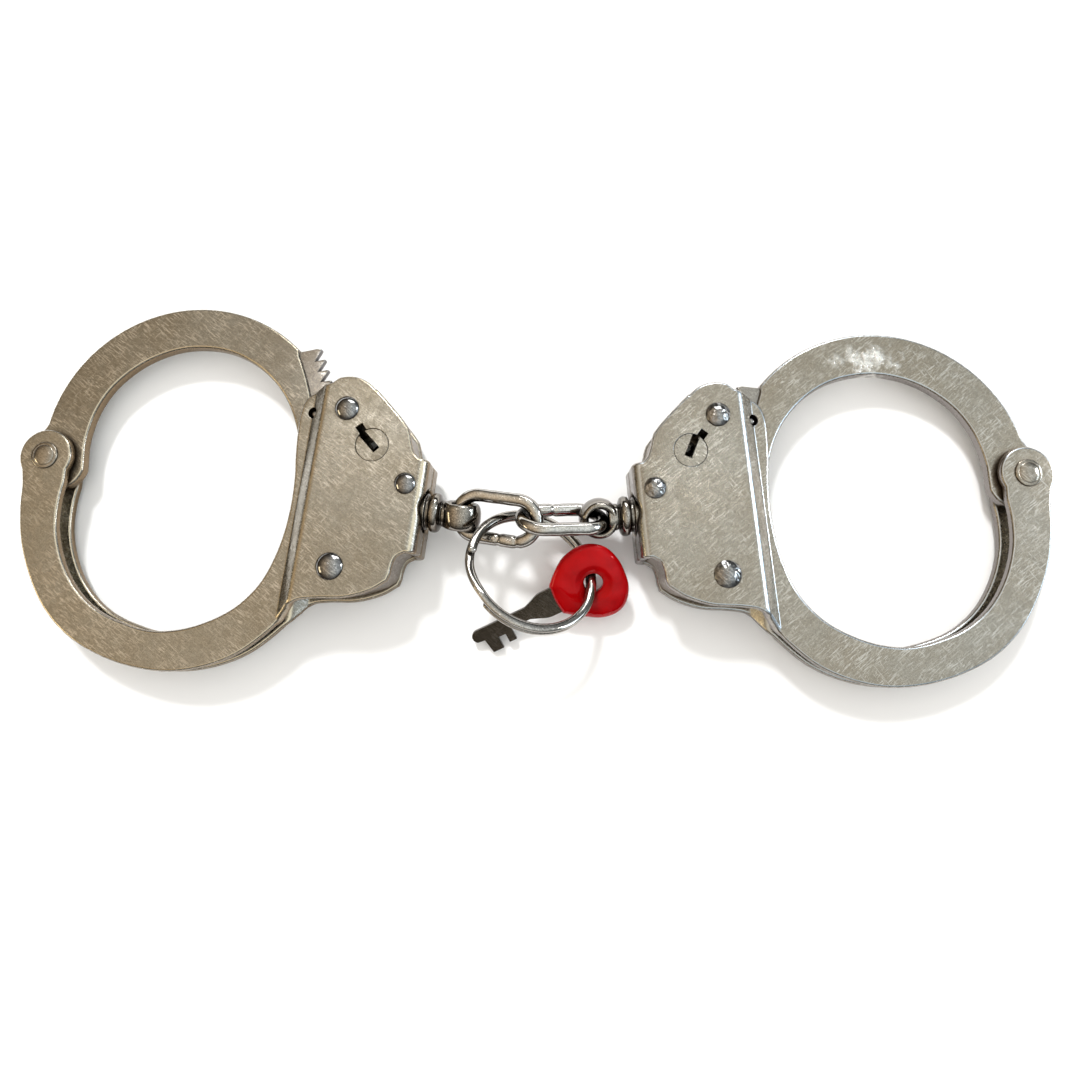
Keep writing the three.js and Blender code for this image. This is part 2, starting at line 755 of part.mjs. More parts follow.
// The dipped vinyl head: layers of height, size and reach towards the bits, with a funnel-shaped hole.
function keyHead() {
  const layers = [
    [-HEAD_HALF_T, 0.72, 0],
    [-1.6, 0.9, 0.4],
    [-0.9, 0.985, 0.75],
    [0, 1, 0.85],
    [0.9, 0.985, 0.75],
    [1.6, 0.9, 0.4],
    [HEAD_HALF_T, 0.72, 0],
  ];
  const outline = smooth(
    [
      [9.4, 3.6],
      [6.3, 6.9],
      [1.5, 8.9],
      [-3.8, 8.2],
      [-7.6, 4.7],
      [-8.7, 0],
      [-7.6, -4.7],
      [-3.8, -8.2],
      [1.5, -8.9],
      [6.3, -6.9],
      [9.4, -3.6],
    ],
    3,
  );
  const rings = layers.map(([z, scale, reach]) =>
    outline.map((p) => new THREE.Vector3(p.x > 0 ? p.x * (0.88 + 0.12 * reach) : p.x * scale, p.y * scale, z)),
  );
  const skin = tubeOf(rings, false);
  const funnel = turned(
    [
      [0, -2.4],
      [4.8, -2.4],
      [HEAD_HOLE_R + 0.5, -1.15],
      [HEAD_HOLE_R, -0.8],
      [HEAD_HOLE_R, 0.8],
      [HEAD_HOLE_R + 0.5, 1.15],
      [4.8, 2.4],
      [0, 2.4],
    ],
    24,
  );
  const cavity = cut(
    plate(keyOutline(FIT).reverse(), -KEY_T / 2 - FIT, KEY_T / 2 + FIT),
    drum([0, 0], KEY_HOLE_R - FIT, -3, 3, 24),
  );
  return cut(skin, cavity, funnel);
}

// ---------- assembly ----------
const handcuffs = new THREE.Group();

function add(parent, name, body, material) {
  const mesh = new THREE.Mesh(geometryOf(body), material);
  mesh.name = name;
  parent.add(mesh);
  return mesh;
}

// A group that turns about a point in its parent; its userData keeps the axis for the joint that it stands for.
function pivot(parent, joint, at, axis, turn = 0) {
  const group = new THREE.Group();
  group.position.set(...at);
  const direction = new THREE.Vector3(...axis).normalize();
  group.quaternion.setFromAxisAngle(direction, turn);
  group.userData = { joint, axis: direction.toArray() };
  parent.add(group);
  return group;
}

const bodies = {
  cheek: cheek(),
  frame: lockFrame(),
  pawl: pawl(),
  spring: pawlSpring(),
  bar: lockBar(),
  plug: keyPlug(),
  arm: ratchetArm(),
  swivel: swivel(),
  bush: swivelBush(),
  link: chainLink(),
};

// One cuff lying on its rivet heads: the left one on its back cheek, the right one on its front cheek.
function cuff(side, place) {
  const group = new THREE.Group();
  const flip = side === "right" ? Math.PI + TILT : -TILT;
  group.rotation.set(0, 0, place.yaw);
  group.position.set(place.x, place.y, 0);
  const lying = new THREE.Group();
  lying.rotation.y = flip;
  group.add(lying);
  const named = (name) => side + "_" + name;

  add(lying, named("front_cheek"), bodies.cheek, NICKEL);
  add(lying, named("back_cheek"), bodies.cheek.mirror([0, 0, 1]), NICKEL);
  add(lying, named("lock_frame"), bodies.frame, NICKEL);
  add(lying, named("pivot_rivet"), pivotRivet(), RIVET_STEEL);
  const shank = RIVET_HOLE_R - FIT;
  const caseRivet = ([x, y], headR, domeH, shankR) => rivet(headR, domeH, shankR, CASE_Z).translate([x, y, 0]);
  add(lying, named("upper_rivet"), caseRivet(UPPER_RIVET, UPPER_HEAD_R, DOME_H, shank), RIVET_STEEL);
  add(lying, named("end_rivet"), caseRivet(END_RIVET, END_HEAD_R, END_DOME_H, END_SHANK_R), RIVET_STEEL);
  add(lying, named("pawl_rivet"), caseRivet(PAWL_RIVET, PAWL_HEAD_R, DOME_H, shank), RIVET_STEEL);
  const pin = (low, high) => drum(GUIDE_PIN, GUIDE_PIN_R, low, high, 16);
  add(lying, named("front_guide_pin"), pin(STRAND_GAP / 2 + 0.05, BOW_Z - 0.45), RIVET_STEEL);
  add(lying, named("back_guide_pin"), pin(0.45 - BOW_Z, -STRAND_GAP / 2 - 0.05), RIVET_STEEL);
  add(lying, named("pawl_spring"), bodies.spring, LOCK_STEEL);
  add(lying, named("swivel_bush"), bodies.bush, CHAIN_NICKEL);

  const arm = pivot(lying, named("arm_swing"), [0, 0, 0], [0, 0, 1], -place.armTeeth * TOOTH_PITCH);
  add(arm, named("ratchet_arm"), bodies.arm, NICKEL);
  const pawlPivot = pivot(lying, named("pawl_lift"), [...PAWL_RIVET, 0], [0, 0, 1]);
  add(pawlPivot, named("pawl"), bodies.pawl.translate([-PAWL_RIVET[0], -PAWL_RIVET[1], 0]), LOCK_STEEL);
  const bar = pivot(lying, named("lock_bar_slide"), [0, 0, 0], [0, 1, 0]);
  add(bar, named("lock_bar"), bodies.bar, LOCK_STEEL);
  const plug = pivot(lying, named("plug_turn"), [...PLUG, 0], [0, 0, 1], place.plugTurn);
  add(plug, named("key_plug"), bodies.plug, NICKEL);
  const spin = pivot(lying, named("swivel_spin"), [EYE_X, SWIVEL_Y, 0], [1, 0, 0], -place.eyeLean);
  add(spin, named("swivel"), bodies.swivel.translate([-EYE_X, -SWIVEL_Y, 0]), CHAIN_NICKEL);
  return group;
}

// Each cuff is lowered until its lowest rivet head rests on z = 0.
function settle(group) {
  const box = new THREE.Box3().setFromObject(group, true);
  group.position.z -= box.min.z;
  handcuffs.add(group);
}

function placed(name, body, material, place) {
  const group = new THREE.Group();
  group.rotation.set(place.roll, place.pitch, place.yaw, "ZYX");
  group.position.set(...place.at);
  add(group, name, body, material);
  handcuffs.add(group);
  return group;
}

settle(cuff("left", LEFT));
settle(cuff("right", RIGHT));
placed("left_link", bodies.link, CHAIN_NICKEL, LEFT_LINK);
placed("right_link", bodies.link, CHAIN_NICKEL, RIGHT_LINK);

const ring = new THREE.Group();
ring.position.set(...RING_AT);
const up = new THREE.Vector3(...RING_NORMAL).normalize();
ring.quaternion.setFromUnitVectors(new THREE.Vector3(0, 0, 1), up);
add(ring, "split_ring", splitRing().rotate([0, 0, RING_SEAM]), CHAIN_NICKEL);
handcuffs.add(ring);

const key = placed("key_blade", keyBlade(), KEY_STEEL, KEY);
add(key, "key_head", keyHead(), RED_VINYL);

// The finished set is centred over the origin.
const whole = new THREE.Box3().setFromObject(handcuffs, true);
const middle = whole.getCenter(new THREE.Vector3());
handcuffs.position.set(-middle.x, -middle.y, -whole.min.z);

export default handcuffs;
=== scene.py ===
"""A pair of chain handcuffs with a key, on a pale floor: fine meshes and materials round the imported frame.

Lengths in this file are millimetres unless a name ends in _m. Each cuff is drawn in its own frame: x runs
from the arm's pivot to the swivel, y to the arm's side, z across the two cheeks.
"""

import json
import math

import bmesh
import bpy
from mathutils import Matrix, Vector, noise


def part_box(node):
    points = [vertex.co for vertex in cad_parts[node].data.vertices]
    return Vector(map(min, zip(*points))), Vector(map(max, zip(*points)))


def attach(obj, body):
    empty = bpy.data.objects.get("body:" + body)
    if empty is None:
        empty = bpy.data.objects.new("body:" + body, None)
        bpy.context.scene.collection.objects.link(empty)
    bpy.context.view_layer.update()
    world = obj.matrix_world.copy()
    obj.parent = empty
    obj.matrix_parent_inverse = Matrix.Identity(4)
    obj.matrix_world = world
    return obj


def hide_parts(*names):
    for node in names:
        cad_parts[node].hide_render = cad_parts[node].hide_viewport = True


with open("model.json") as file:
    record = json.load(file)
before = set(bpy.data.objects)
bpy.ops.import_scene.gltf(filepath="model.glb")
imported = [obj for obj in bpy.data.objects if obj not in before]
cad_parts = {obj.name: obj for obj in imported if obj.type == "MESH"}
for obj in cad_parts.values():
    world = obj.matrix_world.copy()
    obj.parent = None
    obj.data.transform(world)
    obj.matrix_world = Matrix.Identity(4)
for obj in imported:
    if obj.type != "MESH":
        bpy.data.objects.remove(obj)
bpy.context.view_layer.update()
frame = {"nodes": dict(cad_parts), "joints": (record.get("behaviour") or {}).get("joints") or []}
MM = 0.001

# ---------------------------------------------------------------- sizes
# sheets and gaps, and the heights of their faces over the cuff's middle plane
CHEEK_T = 2.05
STRAND_GAP = 3.2
CASE_RISE = 2.75
ARM_T = 2.7
RAIL_T = 1.9
TEETH_T = 1.45
FIT = 0.15
EDGE_R = 0.7
PUNCHED_EDGE_R = 0.1
BOW_Z = STRAND_GAP / 2 + CHEEK_T
CASE_IN = STRAND_GAP / 2 + CASE_RISE
CASE_Z = CASE_IN + CHEEK_T
# the joggle between bow and case, and the end wall
STEP_MIDDLE = 62.75
STEP_ANGLE = math.radians(42)
STEP_BEND_R = 1.55
WALL_X = 89.6
WALL_TOP = 8.6
WALL_BOTTOM = -12.3
WALL_BEND_R = 2.3
BEND_FACET = math.radians(9)
# swivel
SWIVEL_Y = -1.9
SWIVEL_BORE_R = 2.6
SWIVEL_BORE_X = (79, 91)
BUSH_HOLE_R = 4.85
EYE_X = 97.3
EYE_R = 3.4
EYE_BAND = (1.12, 2.95)
# rivets and guide pins
EAR_R = 6.2
PIVOT_HOLE_R = 2.3
CASE_HEAD_R = 7.65
UPPER_RIVET = (69.4, 18.15)
END_RIVET = (85.15, 2.7)
PAWL_RIVET = (71.6, -17.4)
RIVET_HOLE_R = 1.75
END_RIVET_HOLE_R = 1.3
GUIDE_PIN = (61.1, 17.0)
GUIDE_HOLE_R = 1.35
# key plug, and the slot for the key's bits
PLUG = (76.4, 10.5)
PLUG_R = 3.72
PLUG_FLANGE_R = 4.6
PLUG_FLANGE_T = 1.1
PLUG_POST_R = 1.3
NOTCH_ANGLE = 132
NOTCH_REACH = 5.5
KEY_SLOT_W = 1.75
SLOT_BACK = 1.6
SLOT_FLOOR = 0.6
# the arm and its teeth, round the pivot
STRAND_ARC = ((31.9, 5.5), 34.8)
WORN_SPOT = (31.2, 30.2)
TEETH = 17
TOOTH_PITCH = math.radians(30 / 13)
TOOTH_TIP_R = 67.8
TOOTH_ROOT_R = 65.2
TOOTH_OUTLINE = ((0, 0), (0.6, 0.75), (0.72, 0.89), (0.8, 0.98), (0.86, 0.97), (0.9, 0.82))
RAIL_STEP_R = 62.4
RAIL_END = math.radians(-9.3)
SHOULDER = math.radians(30.9)
TEETH_TOP = math.radians(29.9)
CASE_CLEAR_R = 68.2
# chain and ring
LINK_LENGTH = 21.3
LINK_WIDTH = 12.3
LINK_WIRE_R = 1.5
RING_R = 14.1
RING_WIRE = (1.0, 0.58)


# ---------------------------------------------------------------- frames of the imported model
def joint(name):
    return next(j for j in frame["joints"] if j["name"] == name)


def axes_matrix(x, y, z, origin_m):
    """Millimetres along three unit directions, from a point in metres."""
    m = Matrix((x, y, z)).transposed().to_4x4()
    return Matrix.Translation(origin_m) @ m @ Matrix.Scale(MM, 4)


def cuff_matrix(side):
    z = Vector(joint(side + "_arm_swing")["axis"]).normalized()
    x = Vector(joint(side + "_swivel_spin")["axis"])
    x = (x - z * x.dot(z)).normalized()
    return axes_matrix(x, z.cross(x), z, Vector(joint(side + "_arm_swing")["pos_m"]))


def box_centre(node):
    low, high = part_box(node)
    return (Vector(low) + Vector(high)) / 2


def link_matrix(node, hinge):
    """A chain link's frame: x towards the hinge at one end, y along that hinge."""
    centre = box_centre(node)
    x = Vector(joint(hinge)["pos_m"]) - centre
    y = Vector(joint(hinge)["axis"]).normalized()
    x = (x - y * x.dot(y)).normalized()
    return axes_matrix(x, y, x.cross(y), centre)


# ---------------------------------------------------------------- outlines
def arc(centre, r, start, end, steps):
    out = []
    for i in range(steps + 1):
        a = math.radians(start + (end - start) * i / steps)
        out.append((centre[0] + r * math.cos(a), centre[1] + r * math.sin(a)))
    return out


def polar(r, angle):
    return (r * math.cos(angle), r * math.sin(angle))


def smooth(points, per=5):
    """A centripetal Catmull-Rom line through a few points."""
    pts = [Vector(p) for p in points]
    pts = [pts[0] * 2 - pts[1]] + pts + [pts[-1] * 2 - pts[-2]]
    out = []
    for i in range(1, len(pts) - 2):
        a, b, c, d = pts[i - 1 : i + 3]
        t1 = (b - a).length ** 0.5
        t2 = t1 + (c - b).length ** 0.5
        t3 = t2 + (d - c).length ** 0.5
        for k in range(per):
            t = t1 + (t2 - t1) * k / per
            a1 = a * ((t1 - t) / t1) + b * (t / t1)
            a2 = b * ((t2 - t) / (t2 - t1)) + c * ((t - t1) / (t2 - t1))
            a3 = c * ((t3 - t) / (t3 - t2)) + d * ((t - t2) / (t3 - t2))
            b1 = a1 * ((t2 - t) / t2) + a2 * (t / t2)
            b2 = a2 * ((t3 - t) / (t3 - t1)) + a3 * ((t - t1) / (t3 - t1))
            out.append(tuple(b1 * ((t2 - t) / (t2 - t1)) + b2 * ((t - t1) / (t2 - t1))))
    out.append(tuple(points[-1]))
    return out


def tidy_loop(loop, least=0.05):
    """The loop without points that nearly coincide, counter-clockwise."""
    out = []
    for p in loop:
        if not out or math.dist(p, out[-1]) > least:
            out.append(p)
    if math.dist(out[0], out[-1]) <= least:
        out.pop()
    area = sum(a[0] * b[1] - b[0] * a[1] for a, b in zip(out, out[1:] + out[:1]))
    return out if area > 0 else out[::-1]


def inset(loop, d):
    """Moves each point of a counter-clockwise loop inwards by d."""
    out = []
    n = len(loop)
    for i in range(n):
        p, q, r = Vector(loop[i - 1]), Vector(loop[i]), Vector(loop[(i + 1) % n])
        a, b = (q - p).normalized(), (r - q).normalized()
        na, nb = Vector((-a.y, a.x)), Vector((-b.y, b.x))
        mid = na + nb
        mid = mid / max(mid.length_squared / 2, 0.7) if mid.length > 1e-6 else na
        out.append(tuple(q + mid * d))
    return out


BOW_OUTSIDE = smooth([
    (-5, -3.7), (-4.1, -7), (-3.3, -12.5), (-1.2, -20.2), (2.5, -27.6), (7.6, -34.4), (14.4, -39.7),
    (22.2, -42.9), (30.5, -44.5), (39, -44.4), (46.5, -42.4), (53.5, -38.7), (59.3, -33.2), (63.4, -27.9),
])
CASE_BOTTOM = smooth([
    (63.9, -27.1), (65.5, -25.6), (69.5, -24.6), (75.7, -23.7), (81.3, -21.4), (84.6, -18.9),
])
BOTTOM_NOTCH = smooth([(85, -17.4), (85.1, -15.6), (85.7, -13.6), (87.2, -12.5)])
TOP_NOTCH = smooth([(87.3, 8.8), (86, 10), (85.1, 12.1), (84.5, 14)])
CASE_TOP = smooth([(84, 15.2), (82.3, 17.1), (78.2, 20.9), (75.2, 23.5)])
LIP = smooth([(65, 23.9), (62.6, 22.9), (60.4, 21.8), (58.8, 20.2), (58, 18), (57.8, 14.8), (58, 11)])
BOW_INSIDE = smooth([
    (58.3, 7.5), (59.2, 0.5), (59.3, -7.5), (58.2, -15.5), (55.6, -22.9), (51, -28.8), (45.3, -32.7),
    (39.3, -35.2), (33, -36.2), (26.5, -35.3), (20, -33.2), (14, -29), (9.4, -23), (6.5, -16), (5.7, -9.5),
    (5.9, -5.5),
])
ARM_INSIDE = smooth([
    (7.3, 3.6), (7.3, 7), (8.2, 12.6), (11, 18.8), (17, 25.2), (24.4, 29.2), (31, 30.5), (37.7, 30.1),
    (44, 27.8), (49.6, 23.9), (53.5, 19.4), (56.3, 14.2), (58.3, 8.4), (59.3, 2),
])
ARM_TIP = smooth([(59.4, -1), (59.6, -6), (60.1, -9.8), (61, -12.1), (62.3, -12.9), (63.2, -12.2)])


# ---------------------------------------------------------------- mesh building
def plate_mesh(outer, holes, low, high, edge, steps=4):
    """A flat plate with rounded rims, as a bmesh in millimetres; holes are loops, or (loop, edge) pairs."""
    bm = bmesh.new()
    rims = ([], [])
    loops = [(tidy_loop(outer), 1, edge)]
    for hole in holes:
        loop, hole_edge = hole if isinstance(hole, tuple) else (hole, edge)
        loops.append((tidy_loop(loop), -1, hole_edge))
    for loop, sign, r in loops:
        layers = []
        for i in range(steps + 1):
            a = math.pi / 2 * i / steps
            layers.append((r * (1 - math.sin(a)), low + r * (1 - math.cos(a))))
        layers += [(d, low + high - z) for d, z in reversed(layers)]
        rings = []
        for d, z in layers:
            rings.append([bm.verts.new((x, y, z)) for x, y in inset(loop, d * sign)])
        n = len(loop)
        for a, b in zip(rings, rings[1:]):
            for k in range(n):
                bm.faces.new((a[k], a[(k + 1) % n], b[(k + 1) % n], b[k]))
        for rim, ring in zip(rims, (rings[0], rings[-1])):
            rim += [bm.edges.get((ring[k], ring[(k + 1) % n])) for k in range(n)]
    for rim in rims:
        bmesh.ops.triangle_fill(bm, use_beauty=True, use_dissolve=False, edges=rim)
    bmesh.ops.recalc_face_normals(bm, faces=bm.faces[:])
    return bm


def ring_mesh(rings, closed):
    """Skins a list of point rings: joined end to start, or closed by caps."""
    bm = bmesh.new()
    made = [[bm.verts.new(p) for p in ring] for ring in rings]
    n = len(rings[0])
    pairs = list(zip(made, made[1:] + made[:1])) if closed else list(zip(made, made[1:]))
    for a, b in pairs:
        for k in range(n):
            bm.faces.new((a[k], a[(k + 1) % n], b[(k + 1) % n], b[k]))
    if not closed:
        bm.faces.new(made[0][::-1])
        bm.faces.new(made[-1])
    bmesh.ops.recalc_face_normals(bm, faces=bm.faces[:])
    return bm


def lathe_mesh(profile, sides=56, dent=None):
    """Turns (radius, height) pairs round z; the profile starts and ends on the axis, or closes on itself."""
    rings = []
    for k in range(sides):
        a = 2 * math.pi * k / sides
        ring = []
        for r, z in profile:
            p = Vector((r * math.cos(a), r * math.sin(a), z))
            ring.append(dent(p) if dent else p)
        rings.append(ring)
    bm = bmesh.new()
    made = [[bm.verts.new(p) for p in ring] for ring in rings]
    count = len(profile)
    on_axis = profile[0][0] == 0
    steps = count - 1 if on_axis else count
    for i in range(sides):
        a, b = made[i], made[(i + 1) % sides]
        for k in range(steps):
            bm.faces.new((a[k], b[k], b[(k + 1) % count], a[(k + 1) % count]))
    bmesh.ops.remove_doubles(bm, verts=bm.verts[:], dist=1e-5)
    bmesh.ops.recalc_face_normals(bm, faces=bm.faces[:])
    return bm


def fillet(profile, r=0.2, steps=3):
    """Rounds the inner corners of a lathe profile."""
    out = [profile[0]]
    for p, q, s in zip(profile, profile[1:], profile[2:]):
        p, q, s = Vector(p), Vector(q), Vector(s)
        reach = min(r, (p - q).length * 0.45, (s - q).length * 0.45)
        a, b = q + (p - q).normalized() * reach, q + (s - q).normalized() * reach
        for i in range(steps + 1):
            t = i / steps
            out.append(tuple(a.lerp(q, t).lerp(q.lerp(b, t), t)))
    out.append(profile[-1])
    return out


def piece(name, bm, matrix, body, material, nodes, sharp=50, weighted=True):
    """Turns a bmesh into a named object that rides on a body and stands for its CAD nodes."""
    mesh = bpy.data.meshes.new(name)
    bm.transform(matrix)
    bmesh.ops.recalc_face_normals(bm, faces=bm.faces[:])
    bm.to_mesh(mesh)
    bm.free()
    mesh.polygons.foreach_set("use_smooth", [True] * len(mesh.polygons))
    mesh.set_sharp_from_angle(angle=math.radians(sharp))
    obj = bpy.data.objects.new(name, mesh)
    bpy.context.scene.collection.objects.link(obj)
    mesh.materials.append(material)
    if weighted:
        normals = obj.modifiers.new("normals", "WEIGHTED_NORMAL")
        normals.keep_sharp = True
    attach(obj, body)
    if nodes:
        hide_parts(*nodes)
    return obj


# ---------------------------------------------------------------- bent sheet of the cheeks
def bend_path():
    """The cheek's middle line as stretches: (length, turn) with turn in radians over that length."""
    turn = STEP_ANGLE
    bends_rise = 2 * STEP_BEND_R * (1 - math.cos(turn))
    slope = (CASE_RISE - bends_rise) / math.sin(turn)
    run = 2 * STEP_BEND_R * math.sin(turn) + slope * math.cos(turn)
    start = STEP_MIDDLE - run / 2
    wall_r = WALL_BEND_R - CHEEK_T / 2
    flat = WALL_X - WALL_BEND_R - (start + run)
    drop = CASE_Z - WALL_BEND_R - FIT / 2
    return start, [
        (STEP_BEND_R * turn, turn),
        (slope, 0),
        (STEP_BEND_R * turn, -turn),
        (flat, 0),
        (wall_r * math.pi / 2, -math.pi / 2),
        (drop, 0),
    ]


BEND_START, STRETCHES = bend_path()
FLAT_END = BEND_START + sum(length for length, _ in STRETCHES)


def along_sheet(s):
    """Place and direction on the sheet's middle line after a flat-pattern length s."""
    x, z, angle = BEND_START, (STRAND_GAP + CHEEK_T) / 2, 0.0
    left = s - BEND_START
    if left <= 0:
        return s, z, 0.0
    for length, turn in STRETCHES:
        part = min(left, length)
        if turn:
            r = length / turn
            end = angle + part / r
            x += r * (math.sin(end) - math.sin(angle))
            z += r * (math.cos(angle) - math.cos(end))
            angle = end
        else:
            x += part * math.cos(angle)
            z += part * math.sin(angle)
        left -= part
        if left <= 0:
            break
    return x, z, angle


def flat_x(x):
    """Flat-pattern length of a place on the bow or on the case's flat face."""
    if x <= BEND_START:
        return x
    step = sum(length for length, _ in STRETCHES[:3])
    run = 2 * (STEP_MIDDLE - BEND_START)
    if x >= BEND_START + run:
        return x - run + step
    return BEND_START + (x - BEND_START) * step / run


def on_pattern(points):
    return [(flat_x(x), y) for x, y in points]


def cheek_mesh():
    """The front cheek: a flat plate with rounded rims and holes, then bent along its middle line."""
    wall = FLAT_END
    swivel_hole = arc((wall, SWIVEL_Y), BUSH_HOLE_R, 270, 90, 24)
    corner = 0.9
    outline = on_pattern(BOW_OUTSIDE + CASE_BOTTOM + BOTTOM_NOTCH)
    outline += [(wall - corner, WALL_BOTTOM), (wall, WALL_BOTTOM + corner * 0.6)]
    outline += swivel_hole
    outline += [(wall, WALL_TOP - corner * 0.6), (wall - corner, WALL_TOP)]
    head = arc(UPPER_RIVET, CASE_HEAD_R, 42, 114, 12)
    outline += on_pattern(TOP_NOTCH + CASE_TOP + head + LIP + BOW_INSIDE)
    outline += arc((0, 0), EAR_R, -25, 210, 48)
    gap = FIT * 0.45
    notch = math.radians(NOTCH_ANGLE)
    half = KEY_SLOT_W / 2 + 0.05
    swing = math.degrees(math.asin(half / (PLUG_R + gap)))
    key_hole = arc(PLUG, PLUG_R + gap, NOTCH_ANGLE + swing, NOTCH_ANGLE + 360 - swing, 72)
    for across in (-half, half):
        d = Vector((NOTCH_REACH, across))
        key_hole.append((PLUG[0] + d.x * math.cos(notch) - d.y * math.sin(notch),
                         PLUG[1] + d.x * math.sin(notch) + d.y * math.cos(notch)))
    holes = [(arc((0, 0), PIVOT_HOLE_R, 0, 351, 39), PUNCHED_EDGE_R), (key_hole, 0.07)]
    for centre, r, rim in (
        (UPPER_RIVET, RIVET_HOLE_R, PUNCHED_EDGE_R),
        (PAWL_RIVET, RIVET_HOLE_R, PUNCHED_EDGE_R),
        (END_RIVET, END_RIVET_HOLE_R, PUNCHED_EDGE_R),
        (GUIDE_PIN, GUIDE_HOLE_R, 2 * PUNCHED_EDGE_R),
    ):
        holes.append((arc(centre, r, 0, 350, 35), rim))
    holes = [(on_pattern(loop), rim) for loop, rim in holes]
    bm = plate_mesh(outline, holes, -CHEEK_T / 2, CHEEK_T / 2, EDGE_R)
    cuts = []
    at = BEND_START
    for length, turn in STRETCHES[:-1]:
        parts = max(1, round(abs(turn) / BEND_FACET))
        cuts += [at + length * i / parts for i in range(parts + 1)]
        at += length
    for s in sorted(set(round(c, 4) for c in cuts)):
        everything = bm.verts[:] + bm.edges[:] + bm.faces[:]
        bmesh.ops.bisect_plane(bm, geom=everything, plane_co=(s, 0, 0), plane_no=(1, 0, 0), dist=1e-4)
    for v in bm.verts:
        x, z, angle = along_sheet(v.co.x)
        v.co = Vector((x - math.sin(angle) * v.co.z, v.co.y, z + math.cos(angle) * v.co.z))
    return bm


# ---------------------------------------------------------------- materials
class Nodes:
    """A small helper to write a node tree line by line."""

    def __init__(self, name):
        self.material = bpy.data.materials.new(name)
        self.material.use_nodes = True
        self.tree = self.material.node_tree
        self.shader = self.tree.nodes["Principled BSDF"]

    def add(self, kind, inputs=(), **settings):
        node = self.tree.nodes.new(kind)
        for key, value in settings.items():
            setattr(node, key, value)
        for key, value in dict(inputs).items():
            if isinstance(value, bpy.types.NodeSocket):
                self.tree.links.new(value, node.inputs[key])
            else:
                node.inputs[key].default_value = value
        return node

    def place(self, turn=(0, 0, 0), scale=(1, 1, 1)):
        """Object coordinates in millimetres, seen along turned axes and then scaled."""
        where = self.add("ShaderNodeTexCoord").outputs["Object"]
        size = tuple(MM / s for s in scale)
        inputs = {"Vector": where, "Rotation": turn, "Scale": size}
        return self.add("ShaderNodeMapping", inputs, vector_type="TEXTURE").outputs[0]

    def noise(self, scale, detail=3.0, rough=0.55, where=None, distortion=0.0):
        inputs = {"Scale": scale, "Detail": detail, "Roughness": rough, "Distortion": distortion}
        inputs["Vector"] = where or self.place()
        return self.add("ShaderNodeTexNoise", inputs).outputs["Fac"]

    def spread(self, value, low, high, to_low=0.0, to_high=1.0):
        inputs = {"Value": value, "From Min": low, "From Max": high, "To Min": to_low, "To Max": to_high}
        return self.add("ShaderNodeMapRange", inputs).outputs[0]

    def mix(self, factor, a, b, blend="MIX"):
        node = self.add("ShaderNodeMix", data_type="RGBA", blend_type=blend)
        for socket, value in ((node.inputs[0], factor), (node.inputs[6], a), (node.inputs[7], b)):
            if isinstance(value, bpy.types.NodeSocket):
                self.tree.links.new(value, socket)
            elif socket.type == "RGBA" and len(value) == 3:
                socket.default_value = (*value, 1)
            else:
                socket.default_value = value
        return node.outputs[2]

    def math(self, operation, a, b):
        return self.add("ShaderNodeMath", {0: a, 1: b}, operation=operation).outputs[0]

    def bump(self, height, strength, distance_mm, normal=None):
        inputs = {"Height": height, "Strength": strength, "Distance": distance_mm * MM}
        if normal:
            inputs["Normal"] = normal
        return self.add("ShaderNodeBump", inputs).outputs[0]

    def scratches(self, angle, tilt, density, least, length=0.22):
        """Short broken hairlines across the xy plane: 1 on a line, 0 elsewhere."""
        where = self.place((0, tilt, math.radians(angle)), (length, 2.5, 0.6))
        lines = self.noise(density, 1.5, 0.5, where)
        patches = self.spread(self.noise(0.16, 2.0), 0.35, 0.6, 0.25, 1.0)
        return self.math("MULTIPLY", self.spread(lines, least, least + 0.06), patches)

    def gap_shade_and_soil(self, reach_mm, low, high):
        """1 in the open, 0 far into a gap: the mask for painted shade and soiling."""
        ao = self.add("ShaderNodeAmbientOcclusion", {"Distance": reach_mm * MM}, samples=6)
        return self.spread(ao.outputs["AO"], low, high)

    def finish(self, **sockets):
        for key, value in sockets.items():
            socket = self.shader.inputs[key.replace("_", " ")]
            if isinstance(value, bpy.types.NodeSocket):
                self.tree.links.new(value, socket)
            else:
                socket.default_value = (*value, 1) if socket.type == "RGBA" and len(value) == 3 else value
        return self.material


